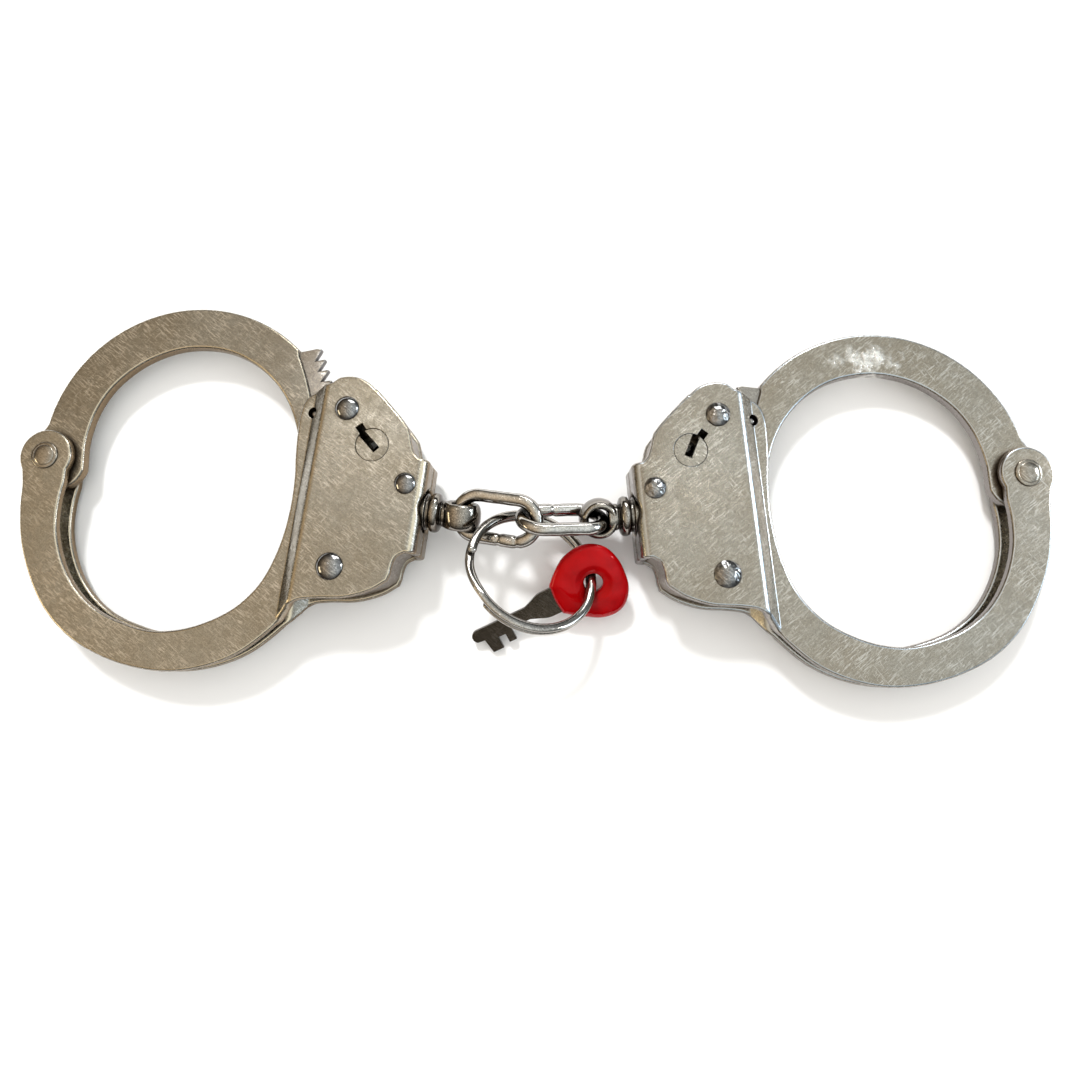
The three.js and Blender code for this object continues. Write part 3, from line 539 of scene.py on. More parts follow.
def nickel(name, light, warm, roughness, scratch=1.0, gap_shade_and_soil=(0.35, 0.9), gap_shade_and_soil_tone=(0.10, 0.065, 0.035),
           mottle=1.0, wall=None, side_shade_end=0.74, rim=None, worn=None, lean=-37, inside_shade=None):
    """Satin nickel plate: cloudy tone, mottling, fine speckle, painted glint specks, hairlines, and painted
    shade with soiling in the gaps.

    wall is the painted shade of faces that stand across the sheet, rim the painted highlight on its rounded
    edges, worn the middle of a patch rubbed bright, lean the way the hairlines run, and the last argument
    darkens what
    lies far inside: painted shade.
    """
    n = Nodes(name)
    cloud = n.spread(n.noise(0.055, 3.0), 0.36, 0.64)
    tone = n.mix(cloud, warm, light)
    blot = n.noise(0.8, 3.0, 0.6)
    tone = n.mix(n.spread(blot, 0.36, 0.60, 0.16 * mottle, 0.0), tone, tuple(0.45 * c for c in warm))
    speck = n.noise(3.8, 3.0, 0.65)
    tone = n.mix(n.spread(speck, 0.36, 0.56, 0.50 * mottle, 0.0), tone, tuple(0.42 * c for c in warm))
    # Painted highlight: small bright specks in the base colour stand for glinting grains.
    painted_glints = n.spread(n.noise(4.6, 2.0, 0.5), 0.60, 0.68, 0.0, 0.6)
    tone = n.mix(painted_glints, tone, tuple(min(1.0, 1.45 * c) for c in light))
    lines = n.math("MAXIMUM", n.scratches(lean, 0.2, 1.6, 0.60), n.scratches(lean + 6, 0.1, 2.3, 0.60, 0.3))
    lines = n.math("MAXIMUM", lines, n.scratches(lean - 7, 0.3, 1.3, 0.62, 0.12))
    lines = n.math("MAXIMUM", lines, n.scratches(-1.3 * lean, 0.15, 1.5, 0.65, 0.2))
    tone = n.mix(n.math("MULTIPLY", lines, 0.66 * scratch), tone, (1.0, 0.98, 0.93))
    # Painted shade: faces that stand across the sheet, where the normal turns away from z, take the dark wall
    # tone.
    if wall:
        normal = n.add("ShaderNodeTexCoord").outputs["Normal"]
        facing = n.add("ShaderNodeSeparateXYZ", {0: normal}).outputs["Z"]
        facing = n.math("ABSOLUTE", facing, 0.0)
        tone = n.mix(n.spread(facing, 0.35, side_shade_end), wall, tone)
    # Painted highlight: the middle of each rounded edge takes a bright tone, a lamp's reflection painted into
    # the colour.
    if rim:
        edge_highlight_tone, edge_highlight_end = rim
        outer = n.spread(facing, edge_highlight_end, edge_highlight_end + 0.08)
        tone = n.mix(n.math("MULTIPLY", outer, n.spread(facing, 0.94, 0.985, 0.8, 0.0)), tone, edge_highlight_tone)
    if worn:
        flatten = (0.42, 1, 1)
        spot_mm = tuple(c * k / MM for c, k in zip(worn, flatten))
        spot = n.add("ShaderNodeVectorMath", {0: n.place(scale=flatten), 1: spot_mm}, operation="DISTANCE")
        edge = n.math("ADD", spot.outputs["Value"], n.spread(n.noise(0.35, 3.0, 0.6), 0.2, 0.8, -2.5, 2.5))
        inside = n.spread(edge, 2.2, 4.4, 1.0, 0.0)
        patch = n.math("MULTIPLY", inside, n.spread(n.noise(1.1, 3.0, 0.6), 0.34, 0.54, 0.3, 1.0))
        tone = n.mix(patch, tone, (1.0, 0.99, 0.96))
    # Painted shade with soiling: the tone goes to the gap tone in gaps and hollows, by ambient occlusion;
    # those places are also made rougher.
    open_air = n.gap_shade_and_soil(1.3, *gap_shade_and_soil)
    # Painted shade: what lies far inside the cuff, away from its faces, goes to the gap tone too.
    if inside_shade:
        middle, face = inside_shade
        height = n.add("ShaderNodeSeparateXYZ", {0: n.place()}).outputs["Z"]
        depth = n.math("ABSOLUTE", n.math("SUBTRACT", height, middle), 0.0)
        open_air = n.math("MULTIPLY", open_air, n.spread(depth, face - 1.3, face - 0.5))
    tone = n.mix(open_air, gap_shade_and_soil_tone, tone)
    rough = n.spread(n.noise(0.5, 4.0, 0.65), 0.3, 0.7, roughness - 0.05, roughness + 0.07)
    rough = n.math("ADD", rough, n.spread(open_air, 0, 1, 0.25, 0.0))
    grain = n.bump(n.noise(4.5, 4.0, 0.65), 0.10, 0.035)
    dings = n.bump(n.noise(0.35, 2.0, 0.4), 0.10, 0.25, grain)
    if worn:
        dings = n.bump(n.math("MULTIPLY", n.noise(0.45, 3.0, 0.5), patch), 0.5, 0.5, dings)
    cut = n.bump(lines, -0.25 * scratch, 0.02, dings)
    return n.finish(Base_Color=tone, Roughness=rough, Normal=cut, Metallic=1.0)


def vinyl(name):
    """Glossy dipped vinyl with slow ripples."""
    n = Nodes(name)
    tone = n.mix(n.spread(n.noise(0.22, 3.0), 0.35, 0.65), (0.25, 0.0, 0.001), (0.335, 0.0006, 0.002))
    # Painted shade: the red goes nearly black in the hole's funnel and other hollows, by ambient occlusion.
    tone = n.mix(n.gap_shade_and_soil(2.2, 0.25, 0.85), (0.035, 0.0, 0.0), tone)
    ripple = n.bump(n.noise(0.24, 1.0, 0.4), 0.3, 0.5)
    grain = n.bump(n.noise(2.2, 2.0, 0.5), 0.02, 0.05, ripple)
    rough = n.spread(n.noise(0.6, 3.0), 0.3, 0.7, 0.04, 0.09)
    return n.finish(Base_Color=tone, Roughness=rough, Normal=grain, Specular_IOR_Level=0.5,
                    Specular_Tint=(1.0, 0.45, 0.5))


# The cuffs share one finish; the right cuff's darker, warmer tones are painted shade. Each side's look paints
# its surroundings: golden edge highlights and brown side shade on the left, bluish highlights and grey side
# shade on the right.
LEFT_TONES = (0.52, 0.515, 0.472), (0.475, 0.445, 0.375)
LEFT_ARM_TONES = (0.43, 0.425, 0.39), (0.385, 0.36, 0.305)
RIGHT_ARM_TONES = (0.44, 0.41, 0.35), (0.40, 0.355, 0.285)
RIGHT_TONES = (0.47, 0.445, 0.39), (0.43, 0.385, 0.315)
LEFT_LOOK = {"wall": (0.20, 0.145, 0.09), "side_shade_end": 0.90, "rim": ((1.0, 0.88, 0.66), 0.82)}
RIGHT_LOOK = {"wall": (0.23, 0.21, 0.20), "rim": ((0.80, 0.90, 1.0), 0.765), "lean": 40, "scratch": 0.72}
PLATE = {
    "left": nickel("nickel_plate_left", *LEFT_TONES, 0.25, **LEFT_LOOK),
    "right": nickel("nickel_plate_right", *RIGHT_TONES, 0.25, **RIGHT_LOOK),
}
ARM_PLATE = nickel("nickel_arm_left", *LEFT_ARM_TONES, 0.25, **LEFT_LOOK)
# Each wall tone below is painted shade on side faces: the teeth's flanks, the dark ring round the domes, the
# chain's and swivel's dark flanks, the ring's sides.
TEETH_STEEL = nickel("nickel_teeth", (0.60, 0.60, 0.60), (0.40, 0.38, 0.35), 0.16, 0.4, (0.3, 0.95),
                     (0.02, 0.015, 0.012), wall=(0.16, 0.15, 0.145), side_shade_end=0.7)
# The plugs' gap tone is near black: painted shade inside the keyway slots.
PLUG_STEEL = {
    side: nickel("nickel_plug_" + side, *tones, 0.25, gap_shade_and_soil_tone=(0.004, 0.003, 0.002),
                 inside_shade=(joint(side + "_arm_swing")["pos_m"][2] / MM, CASE_Z))
    for side, tones in (("left", LEFT_TONES), ("right", RIGHT_TONES))
}
INNER_PLATE = nickel("nickel_inside", (0.30, 0.25, 0.215), (0.22, 0.18, 0.145), 0.36, 0.4)
RIVET = nickel("rivet_steel", (0.55, 0.55, 0.56), (0.33, 0.33, 0.33), 0.10, 0.6, (0.35, 1.0),
               (0.02, 0.018, 0.016), 1.25, wall=(0.14, 0.135, 0.13), side_shade_end=0.84)
PIVOT_STEEL = nickel("pivot_nickel", (0.52, 0.49, 0.435), (0.45, 0.405, 0.34), 0.16, 0.5, (0.3, 0.9))
CHAIN = nickel("chain_nickel", (0.97, 0.96, 0.93), (0.70, 0.67, 0.62), 0.10, 0.3, (0.35, 0.95),
               (0.015, 0.011, 0.008), 1.1, wall=(0.085, 0.07, 0.058), side_shade_end=0.86)
BRIGHT = nickel("ring_nickel", (0.68, 0.66, 0.63), (0.48, 0.445, 0.40), 0.10, 0.4, (0.3, 0.9),
                (0.02, 0.017, 0.014), wall=(0.20, 0.175, 0.15))
LOCK = nickel("lock_steel", (0.30, 0.30, 0.30), (0.22, 0.21, 0.20), 0.42, 0.4)
SWIVEL = nickel("swivel_nickel", (0.66, 0.63, 0.58), (0.36, 0.33, 0.29), 0.10, 0.3, (0.35, 0.95),
                (0.015, 0.011, 0.008), 1.5, wall=(0.085, 0.07, 0.058), side_shade_end=0.86)
KEY = nickel("key_steel", (0.125, 0.108, 0.088), (0.075, 0.064, 0.052), 0.32, 0.10, (0.3, 0.8), mottle=1.4)
RED = vinyl("red_vinyl")


# ---------------------------------------------------------------- camera, light and floor
PIVOT_m = Vector(joint("left_arm_swing")["pos_m"])
CAMERA_FROM_PIVOT_m = Vector((0.1164, -0.0479, 0.17965))
CAMERA_PITCH = math.radians(9.0)
CAMERA_ROLL_Y = math.radians(0.83)
FOCAL_OVER_WIDTH = 795 / 1080
SENSOR_WIDTH = 36
BACKDROP = (0.96, 0.96, 0.955, 1)
FLOOR_HALF_m = 1.6
FLOOR_DROP_m = 0.00005


def add_camera():
    data = bpy.data.cameras.new("camera")
    data.sensor_width = SENSOR_WIDTH
    data.lens = SENSOR_WIDTH * FOCAL_OVER_WIDTH
    data.clip_start = 0.005
    data.clip_end = 20
    cam = bpy.data.objects.new("camera", data)
    bpy.context.scene.collection.objects.link(cam)
    lean = Matrix.Rotation(CAMERA_ROLL_Y, 4, "Y") @ Matrix.Rotation(CAMERA_PITCH, 4, "X")
    cam.matrix_world = Matrix.Translation(PIVOT_m + CAMERA_FROM_PIVOT_m) @ lean
    bpy.context.scene.camera = cam


def add_area(name, at, aim, size, energy, colour):
    """A lamp that the metal mirrors but that doesn't light the floor."""
    data = bpy.data.lights.new(name, "AREA")
    data.shape = "RECTANGLE"
    data.size, data.size_y = size
    data.energy = energy
    data.color = colour
    lamp = bpy.data.objects.new(name, data)
    bpy.context.scene.collection.objects.link(lamp)
    lamp.location = at
    lamp.rotation_euler = (Vector(aim) - Vector(at)).to_track_quat("-Z", "Y").to_euler()
    lamp.visible_diffuse = False


def add_sun(name, direction, strength, angle, colour):
    """A soft source for the floor's light and shadows; the metal mirrors only the sky and the panels."""
    data = bpy.data.lights.new(name, "SUN")
    data.energy = strength
    data.angle = math.radians(angle)
    data.color = colour
    lamp = bpy.data.objects.new(name, data)
    bpy.context.scene.collection.objects.link(lamp)
    lamp.rotation_euler = Vector(direction).to_track_quat("-Z", "Y").to_euler()
    lamp.visible_glossy = False


def ramp(tree, value, stops):
    node = tree.nodes.new("ShaderNodeValToRGB")
    band = node.color_ramp
    while len(band.elements) < len(stops):
        band.elements.new(0.5)
    for element, (at, colour) in zip(band.elements, stops):
        element.position = at
        element.color = (*colour, 1)
    tree.links.new(value, node.inputs[0])
    return node.outputs[0]


def add_world():
    """The metal mirrors dark low walls and a bright ceiling, warm on the left; the backdrop is pale."""
    world = bpy.data.worlds.new("studio")
    bpy.context.scene.world = world
    world.use_nodes = True
    tree = world.node_tree
    where = tree.nodes.new("ShaderNodeTexCoord")
    split = tree.nodes.new("ShaderNodeSeparateXYZ")
    tree.links.new(where.outputs["Generated"], split.inputs[0])
    height = ramp(tree, split.outputs["Z"], (
        (0.0, (0.06, 0.055, 0.05)), (0.22, (0.09, 0.088, 0.085)), (0.48, (0.30, 0.295, 0.285)),
        (0.66, (0.56, 0.55, 0.52)), (0.80, (0.80, 0.785, 0.745)), (0.90, (0.83, 0.81, 0.77)),
        (1.0, (0.74, 0.725, 0.685))))
    across = tree.nodes.new("ShaderNodeMapRange")
    for key, value in (("From Min", -0.7), ("From Max", 0.6)):
        across.inputs[key].default_value = value
    tree.links.new(split.outputs["X"], across.inputs["Value"])
    tint = ramp(tree, across.outputs[0], (
        (0.0, (0.84, 0.66, 0.47)), (0.38, (0.82, 0.75, 0.66)), (0.55, (0.94, 0.92, 0.87)),
        (0.75, (1.04, 1.06, 1.04)), (1.0, (1.04, 1.12, 1.18))))
    mix = tree.nodes.new("ShaderNodeMix")
    mix.data_type = "RGBA"
    mix.blend_type = "MULTIPLY"
    mix.inputs[0].default_value = 1
    tree.links.new(height, mix.inputs[6])
    tree.links.new(tint, mix.inputs[7])
    backdrop = tree.nodes.new("ShaderNodeMix")
    backdrop.data_type = "RGBA"
    tree.links.new(tree.nodes.new("ShaderNodeLightPath").outputs["Is Camera Ray"], backdrop.inputs[0])
    tree.links.new(mix.outputs[2], backdrop.inputs[6])
    backdrop.inputs[7].default_value = BACKDROP
    tree.links.new(backdrop.outputs[2], tree.nodes["Background"].inputs["Color"])
    tree.nodes["Background"].inputs["Strength"].default_value = 1.0


def add_floor():
    bm = bmesh.new()
    bmesh.ops.create_grid(bm, x_segments=8, y_segments=8, size=FLOOR_HALF_m)
    mesh = bpy.data.meshes.new("floor")
    bm.to_mesh(mesh)
    bm.free()
    floor = bpy.data.objects.new("floor", mesh)
    bpy.context.scene.collection.objects.link(floor)
    floor.location.z = -FLOOR_DROP_m
    n = Nodes("floor_white")
    tone = n.mix(n.noise(0.02, 2.0), (0.86, 0.86, 0.86), (0.88, 0.88, 0.88))
    mesh.materials.append(n.finish(Base_Color=tone, Roughness=0.85))


add_camera()
add_world()
add_floor()
add_sun("key_sun", (0.3, -0.88, -1), 2.45, 9, (1.0, 1.0, 1.0))
add_sun("sky_fill", (0, 0, -1), 1.98, 180, (0.965, 0.98, 1.0))
add_area("right_window", (1.3, 0.1, 0.5), (0, 0, 0), (0.9, 0.28), 2.8, (0.76, 0.89, 1.0))
add_area("left_lamp", (-1.3, -0.25, 0.45), (0, 0, 0), (0.6, 0.2), 1.5, (1.0, 0.82, 0.52))
add_area("top_window", (0.3, 1.25, 0.6), (0, 0, 0), (0.9, 0.14), 3.0, (1.0, 1.0, 1.0))
add_area("glint_right", (1.0, 0.25, 0.6), (0, 0, 0), (0.16, 0.05), 1.9, (1.0, 1.0, 1.0))
add_area("glint_top", (0.25, 1.0, 0.75), (0, 0, 0), (0.24, 0.04), 2.0, (1.0, 1.0, 1.0))
add_area("ceiling_left", (-0.42, 0.42, 1.2), (0, 0, 0), (0.05, 0.05), 0.13, (1.0, 0.97, 0.92))
add_area("ceiling_right", (0.36, 0.30, 1.25), (0, 0, 0), (0.045, 0.045), 0.075, (1.0, 0.99, 0.97))
bpy.context.scene.view_settings.view_transform = "Standard"


# ---------------------------------------------------------------- pieces of a cuff
MIRROR_Z = Matrix.Scale(-1, 4, (0, 0, 1))


def dome_profile(radius, height, shank, face):
    """A rivet with a smooth dome on each side."""
    seat = face + 0.02
    rim = 0.14
    cap = height - rim
    ball = (radius ** 2 + cap ** 2) / (2 * cap)
    widest = math.asin(radius / ball)
    half = [(shank, seat), (radius - 0.06, seat), (radius, seat + 0.05)]
    for i in range(15):
        a = widest * (1 - i / 14)
        half.append((ball * math.sin(a), seat + rim + ball * (math.cos(a) - math.cos(widest))))
    return [(r, -z) for r, z in reversed(half)] + half


def hammered(strength, seed, face):
    """Small flats left by peening, on the far side's head only."""
    def move(p):
        if p.z > -face:
            return p
        n = noise.noise(Vector((p.x * 0.9, p.y * 0.9, seed)))
        m = noise.noise(Vector((p.x * 2.1, p.y * 2.1, seed + 4)))
        rim = min(1.0, (-face - p.z) / 0.5)
        return p + Vector((0, 0, rim * strength * (abs(n) * 0.9 + abs(m) * 0.35)))
    return move


def pivot_profile():
    """A nearly flush rivet with a shallow ring groove and a low dome."""
    seat = BOW_Z + 0.02
    half = [(2.05, seat), (3.1, seat), (3.12, seat + 0.2), (2.98, seat + 0.34), (2.5, seat + 0.46),
            (2.4, seat + 0.41), (2.3, seat + 0.52), (2.0, seat + 0.64), (1.5, seat + 0.77),
            (0.8, seat + 0.86)]
    half = fillet(half, 0.12) + [(0, seat + 0.88)]
    return [(r, -z) for r, z in reversed(half)] + half


def boolean(bm, other, operation):
    """Joins or cuts two closed bmeshes."""
    objects = []
    for b in (bm, other):
        mesh = bpy.data.meshes.new("tool")
        b.to_mesh(mesh)
        b.free()
        o = bpy.data.objects.new("tool", mesh)
        bpy.context.scene.collection.objects.link(o)
        objects.append(o)
    cutter = objects[0].modifiers.new("boolean", "BOOLEAN")
    cutter.object = objects[1]
    cutter.operation = operation
    cutter.solver = "EXACT"
    evaluated = objects[0].evaluated_get(bpy.context.evaluated_depsgraph_get())
    result = bmesh.new()
    result.from_mesh(evaluated.to_mesh())
    for o in objects:
        bpy.data.objects.remove(o)
    return result


TEETH_MATERIAL = 1


def arm_mesh():
    """The single strand: a thick hook, a thinner rail along its end and thin ratchet teeth on the rail."""
    body = ARM_INSIDE + ARM_TIP
    body += [polar(RAIL_STEP_R, RAIL_END - 0.02 + (SHOULDER - RAIL_END) * i / 40) for i in range(41)]
    body += arc(*STRAND_ARC, 51, 176, 90)
    body += arc((0, 0), EAR_R, 140, 235, 20)
    body += arc((1.7, -0.8), 6.5, 240, 352, 24)
    inner = RAIL_STEP_R - 0.8
    rail = [polar(inner, RAIL_END - 0.035), polar(TOOTH_ROOT_R - 1.2, RAIL_END - 0.045),
            polar(TOOTH_ROOT_R - 0.3, RAIL_END - 0.025)]
    for i in range(TEETH):
        for along, height in TOOTH_OUTLINE:
            r = TOOTH_ROOT_R + height * (TOOTH_TIP_R - TOOTH_ROOT_R)
            rail.append(polar(r, TEETH_TOP + (i - TEETH + along) * TOOTH_PITCH))
    rail += [polar(TOOTH_TIP_R - 1, TEETH_TOP + 0.002), polar(RAIL_STEP_R + 1.6, SHOULDER - 0.006)]
    rail += [polar(inner, SHOULDER + 0.004 - (SHOULDER - RAIL_END) * i / 40) for i in range(41)]
    band_r = TOOTH_ROOT_R - 0.45
    sweep = SHOULDER - RAIL_END + 0.03
    band = [polar(band_r, RAIL_END - 0.034 + sweep * i / 60) for i in range(61)]
    band += [polar(inner, RAIL_END - 0.034 + sweep * (60 - i) / 60) for i in range(61)]
    pivot_hole = (arc((0, 0), PIVOT_HOLE_R, 0, 351, 39), PUNCHED_EDGE_R)
    thick = plate_mesh(body, [pivot_hole], -ARM_T / 2, ARM_T / 2, EDGE_R)
    middle = plate_mesh(band, [], -RAIL_T / 2, RAIL_T / 2, 0.22, 3)
    thin = plate_mesh(rail, [], -TEETH_T / 2, TEETH_T / 2, 0.16, 2)
    bm = boolean(boolean(thick, middle, "UNION"), thin, "UNION")
    for face in bm.faces:
        at = face.calc_center_median()
        if math.hypot(at.x, at.y) > RAIL_STEP_R + 0.15 and math.atan2(at.y, at.x) < SHOULDER:
            face.material_index = TEETH_MATERIAL
    return bm


def plug_mesh(turn):
    """Two slotted discs with flanges, joined by a slotted post."""
    top = CASE_Z - 0.1
    flange = CASE_IN - FIT
    under = flange - PLUG_FLANGE_T
    side = [(PLUG_POST_R, 0), (PLUG_POST_R, under), (PLUG_FLANGE_R, under), (PLUG_FLANGE_R, flange),
            (PLUG_R, flange), (PLUG_R, top), (0, top)]
    half = fillet(side, 0.16, 4)
    bm = lathe_mesh([(r, -z) for r, z in reversed(half)] + half[1:], 72)
    for low, high in ((SLOT_FLOOR, CASE_Z + 1), (-CASE_Z - 1, -SLOT_FLOOR)):
        w = KEY_SLOT_W / 2
        corners = [(-SLOT_BACK, -w), (PLUG_R + 2, -w), (PLUG_R + 2, w), (-SLOT_BACK, w)]
        slot = plate_mesh(corners, [], low, high, 0.02, 1)
        slot.transform(Matrix.Rotation(math.radians(NOTCH_ANGLE), 4, "Z"))
        bm = boolean(bm, slot, "DIFFERENCE")
    bm.transform(Matrix.Rotation(turn, 4, "Z"))
    bm.transform(Matrix.Translation((PLUG[0], PLUG[1], 0)))
    return bm


FRAME_OUTLINE = (
    [polar(CASE_CLEAR_R, math.radians(-18.2))]
    + arc(PAWL_RIVET, 4.1, 215, 375, 24)
    + [(77.4, -15.9), (79.2, -13.4), (79.2, -6.4), (82.2, -6.4), (82.2, 3.2)]
    + arc(PLUG, 6.5, -26, 140, 28)
    + arc((0, 0), CASE_CLEAR_R, 12.4, 18.6, 6)
    + smooth([(66.2, 22.9), (70.2, 24.3), (74.2, 22.7), (78, 19.4), (81.8, 16.1), (83.9, 14.3)])
    + smooth([(84.2, 13.7), (84.7, 12), (85.6, 9.8), (86.9, 8.3)])
    + [(87.3, 7.9), (87.3, -11.6)]
    + smooth([(86.9, -12), (85.6, -13.1), (84.8, -15.3), (84.6, -17.2), (84, -18.4)])
    + smooth([(82.6, -19.6), (80.9, -20.5), (75.5, -22.6), (69.6, -23.5), (65.8, -24)])
)


def frame_mesh():
    """The spacer block between the cheeks, bored for two rivets and for the swivel."""
    half = CASE_IN - FIT
    holes = [arc(UPPER_RIVET, RIVET_HOLE_R, 0, 350, 35), arc(END_RIVET, END_RIVET_HOLE_R, 0, 350, 35)]
    body = plate_mesh(FRAME_OUTLINE, holes, -half, half, 0.25, 3)
    low, high = SWIVEL_BORE_X
    bore = lathe_mesh([(0, low), (SWIVEL_BORE_R, low), (SWIVEL_BORE_R, high), (0, high)], 40)
    bore.transform(Matrix.Rotation(math.pi / 2, 4, "Y"))
    bore.transform(Matrix.Translation((0, SWIVEL_Y, 0)))
    return boolean(body, bore, "DIFFERENCE")


def swivel_mesh(lean):
    """Head, shank, collar and neck turned on the axis, run into an oval-section eye."""
    across, along = EYE_BAND
    eye = []
    for i in range(28):
        t = 2 * math.pi * i / 28
        height = along * abs(math.sin(t)) ** 0.85
        eye.append((EYE_R + across * math.cos(t), math.copysign(height, math.sin(t))))
    ring = lathe_mesh(eye, 72)
    turned = [(0, 78.9), (3.8, 78.9), (3.8, 81.7), (2.4, 81.75), (2.4, 91.45), (4.0, 91.45), (4.0, 90.7),
              (4.3, 90.75), (4.5, 91.3), (4.5, 91.9), (4.2, 92.5), (3.3, 92.8), (2.7, 93.0), (3.0, 93.3),
              (3.1, 95.3), (0, 95.3)]
    shank = lathe_mesh(fillet(turned, 0.3), 64)
    shank.transform(Matrix.Rotation(math.pi / 2, 4, "Y"))
    shank.transform(Matrix.Translation((-EYE_X, 0, 0)))
    bm = boolean(shank, ring, "UNION")
    bm.transform(Matrix.Rotation(-lean, 4, "X"))
    bm.transform(Matrix.Translation((EYE_X, SWIVEL_Y, 0)))
    return bm


# how each cuff lies: its swivel's turn, its plug's turn, and the teeth its arm is closed by
LEAN = {"left": math.radians(70), "right": math.radians(24)}
PLUG_TURN = {"left": math.radians(7.5), "right": math.radians(-15)}
ARM_TEETH = {"left": 0, "right": 3}
PEEN_SEED = {"left": 3, "right": 11}
PEEN_DEPTH = 0.3
# name, centre, head radius, head height and shank radius
CASE_RIVETS = (
    ("upper_rivet", UPPER_RIVET, 2.72, 1.35, 1.6),
    ("end_rivet", END_RIVET, 2.38, 1.15, 1.15),
    ("pawl_rivet", PAWL_RIVET, 3.0, 1.35, 1.6),
)


def bush_mesh():
    """The grooved ring in the end wall that the swivel's neck turns in."""
    turned = [(2.6, 87.6), (4.15, 87.6), (4.15, 89.6), (3.6, 89.75), (3.6, 90.4), (3.85, 90.6), (3.85, 91.3),
              (2.6, 91.3)]
    bm = lathe_mesh(fillet(turned, 0.15), 64)
    bm.transform(Matrix.Rotation(math.pi / 2, 4, "Y"))
    bm.transform(Matrix.Translation((0, SWIVEL_Y, 0)))
    return bm


def guide_pin_mesh():
    """A short headed pin, sunk in the hole of the front cheek's lip."""
    low, high, r, foot_r = STRAND_GAP / 2 + 0.05, BOW_Z - 0.45, 0.95, 1.12
    profile = [(0, low), (foot_r, low), (foot_r, low + 0.9), (r, low + 1.1), (r, high - 0.5),
               (0.78, high - 0.18), (0.4, high - 0.03), (0, high)]
    return lathe_mesh(profile, 32)


def add_cuff(side):
    m = cuff_matrix(side)

    def part(name, bm, body=side + "_cuff", slot="nickel_plate", material=PLATE[side], sharp=50):
        node = side + "_" + name
        return piece(node + "_fine", bm, m, body, material, [node], sharp)

    part("front_cheek", cheek_mesh())
    back = cheek_mesh()
    back.transform(MIRROR_Z)
    part("back_cheek", back)
    part("lock_frame", frame_mesh(), material=INNER_PLATE)
    arm = arm_mesh()
    arm.transform(Matrix.Rotation(-ARM_TEETH[side] * TOOTH_PITCH, 4, "Z"))
    arm_plate = ARM_PLATE
    if side == "right":
        spot = m @ Vector((*WORN_SPOT, ARM_T / 2))
        arm_plate = nickel("nickel_plate_worn", *RIGHT_ARM_TONES, 0.25, worn=tuple(spot), **RIGHT_LOOK)
    part("ratchet_arm", arm, side + "_arm", material=arm_plate).data.materials.append(TEETH_STEEL)
    part("key_plug", plug_mesh(PLUG_TURN[side]), side + "_key_plug", material=PLUG_STEEL[side])
    for name, centre, radius, height, shank in CASE_RIVETS:
        profile = dome_profile(radius, height, shank, CASE_Z)
        bm = lathe_mesh(profile, 56, hammered(PEEN_DEPTH, PEEN_SEED[side] + radius, CASE_Z + 0.15))
        bm.transform(Matrix.Translation((centre[0], centre[1], 0)))
        part(name, bm, slot="rivet_steel", material=RIVET)
    part("pivot_rivet", lathe_mesh(pivot_profile(), 72), slot="rivet_steel", material=PIVOT_STEEL)
    part("swivel_bush", bush_mesh(), slot="chain_nickel", material=SWIVEL)
    part("swivel", swivel_mesh(LEAN[side]), side + "_swivel", "chain_nickel", SWIVEL, 40)
    for name, facing in (("front_guide_pin", Matrix()), ("back_guide_pin", MIRROR_Z)):
        pin = guide_pin_mesh()
        pin.transform(Matrix.Translation((*GUIDE_PIN, 0)) @ facing)
        part(name, pin, slot="rivet_steel", material=RIVET)
    for name in ("pawl", "pawl_spring", "lock_bar"):
        for slot in frame["nodes"][side + "_" + name].material_slots:
            slot.material = LOCK


for cuff_side in ("left", "right"):
    add_cuff(cuff_side)


# ---------------------------------------------------------------- chain links
def stadium(t, wide, long):
    """A point and direction on the link's middle line, t from 0 to 1."""
    r = wide / 2
    straight = long - wide
    around = 2 * straight + 2 * math.pi * r
    s = t * around
    sign = 1
    if s >= around / 2:
        s -= around / 2
        sign = -1
    if s <= straight:
        return Vector((sign * (s - straight / 2), -sign * r, 0)), Vector((sign, 0, 0))
    a = (s - straight) / r - math.pi / 2
    at = Vector((sign * (straight / 2 + r * math.cos(a)), sign * r * math.sin(a), 0))
    return at, Vector((-sign * math.sin(a), sign * math.cos(a), 0))


def link_mesh(seed, weld_at):
    """Round wire with a swollen weld in one side, a little uneven all round."""
    rings = []
    steps, sides = 128, 28
    for i in range(steps):
        t = i / steps
        at, ahead = stadium(t, LINK_WIDTH - 2 * LINK_WIRE_R, LINK_LENGTH - 2 * LINK_WIRE_R)
        out = Vector((ahead.y, -ahead.x, 0))
        gap = min(abs(t - weld_at), 1 - abs(t - weld_at)) * steps * 0.4
        swell = 0.05 * math.exp(-((gap / 1.3) ** 2)) - 0.26 * math.exp(-(((gap - 2.3) / 0.45) ** 2))
        ring = []
        for k in range(sides):
            a = 2 * math.pi * k / sides
            d = out * math.cos(a) + Vector((0, 0, math.sin(a)))
            p = at + d * LINK_WIRE_R
            rough = noise.noise(p * 0.5 + Vector((seed, 0, 0))) * 0.05 + noise.noise(p * 1.6) * 0.025 - 0.04
            ring.append(at + d * (LINK_WIRE_R + swell * 0.8 + rough))
        rings.append(ring)
    return ring_mesh(rings, True)


def add_links():
    for body, hinge, seed, weld_at in (
        ("left_link", "right_link_swing", 5.0, 0.16),
        ("right_link", "right_swivel_swing", 9.0, 0.66),
    ):
        bm = link_mesh(seed, weld_at)
        m = link_matrix(body, hinge)
        piece(body + "_fine", bm, m, body, CHAIN, [body], 60, False)


add_links()


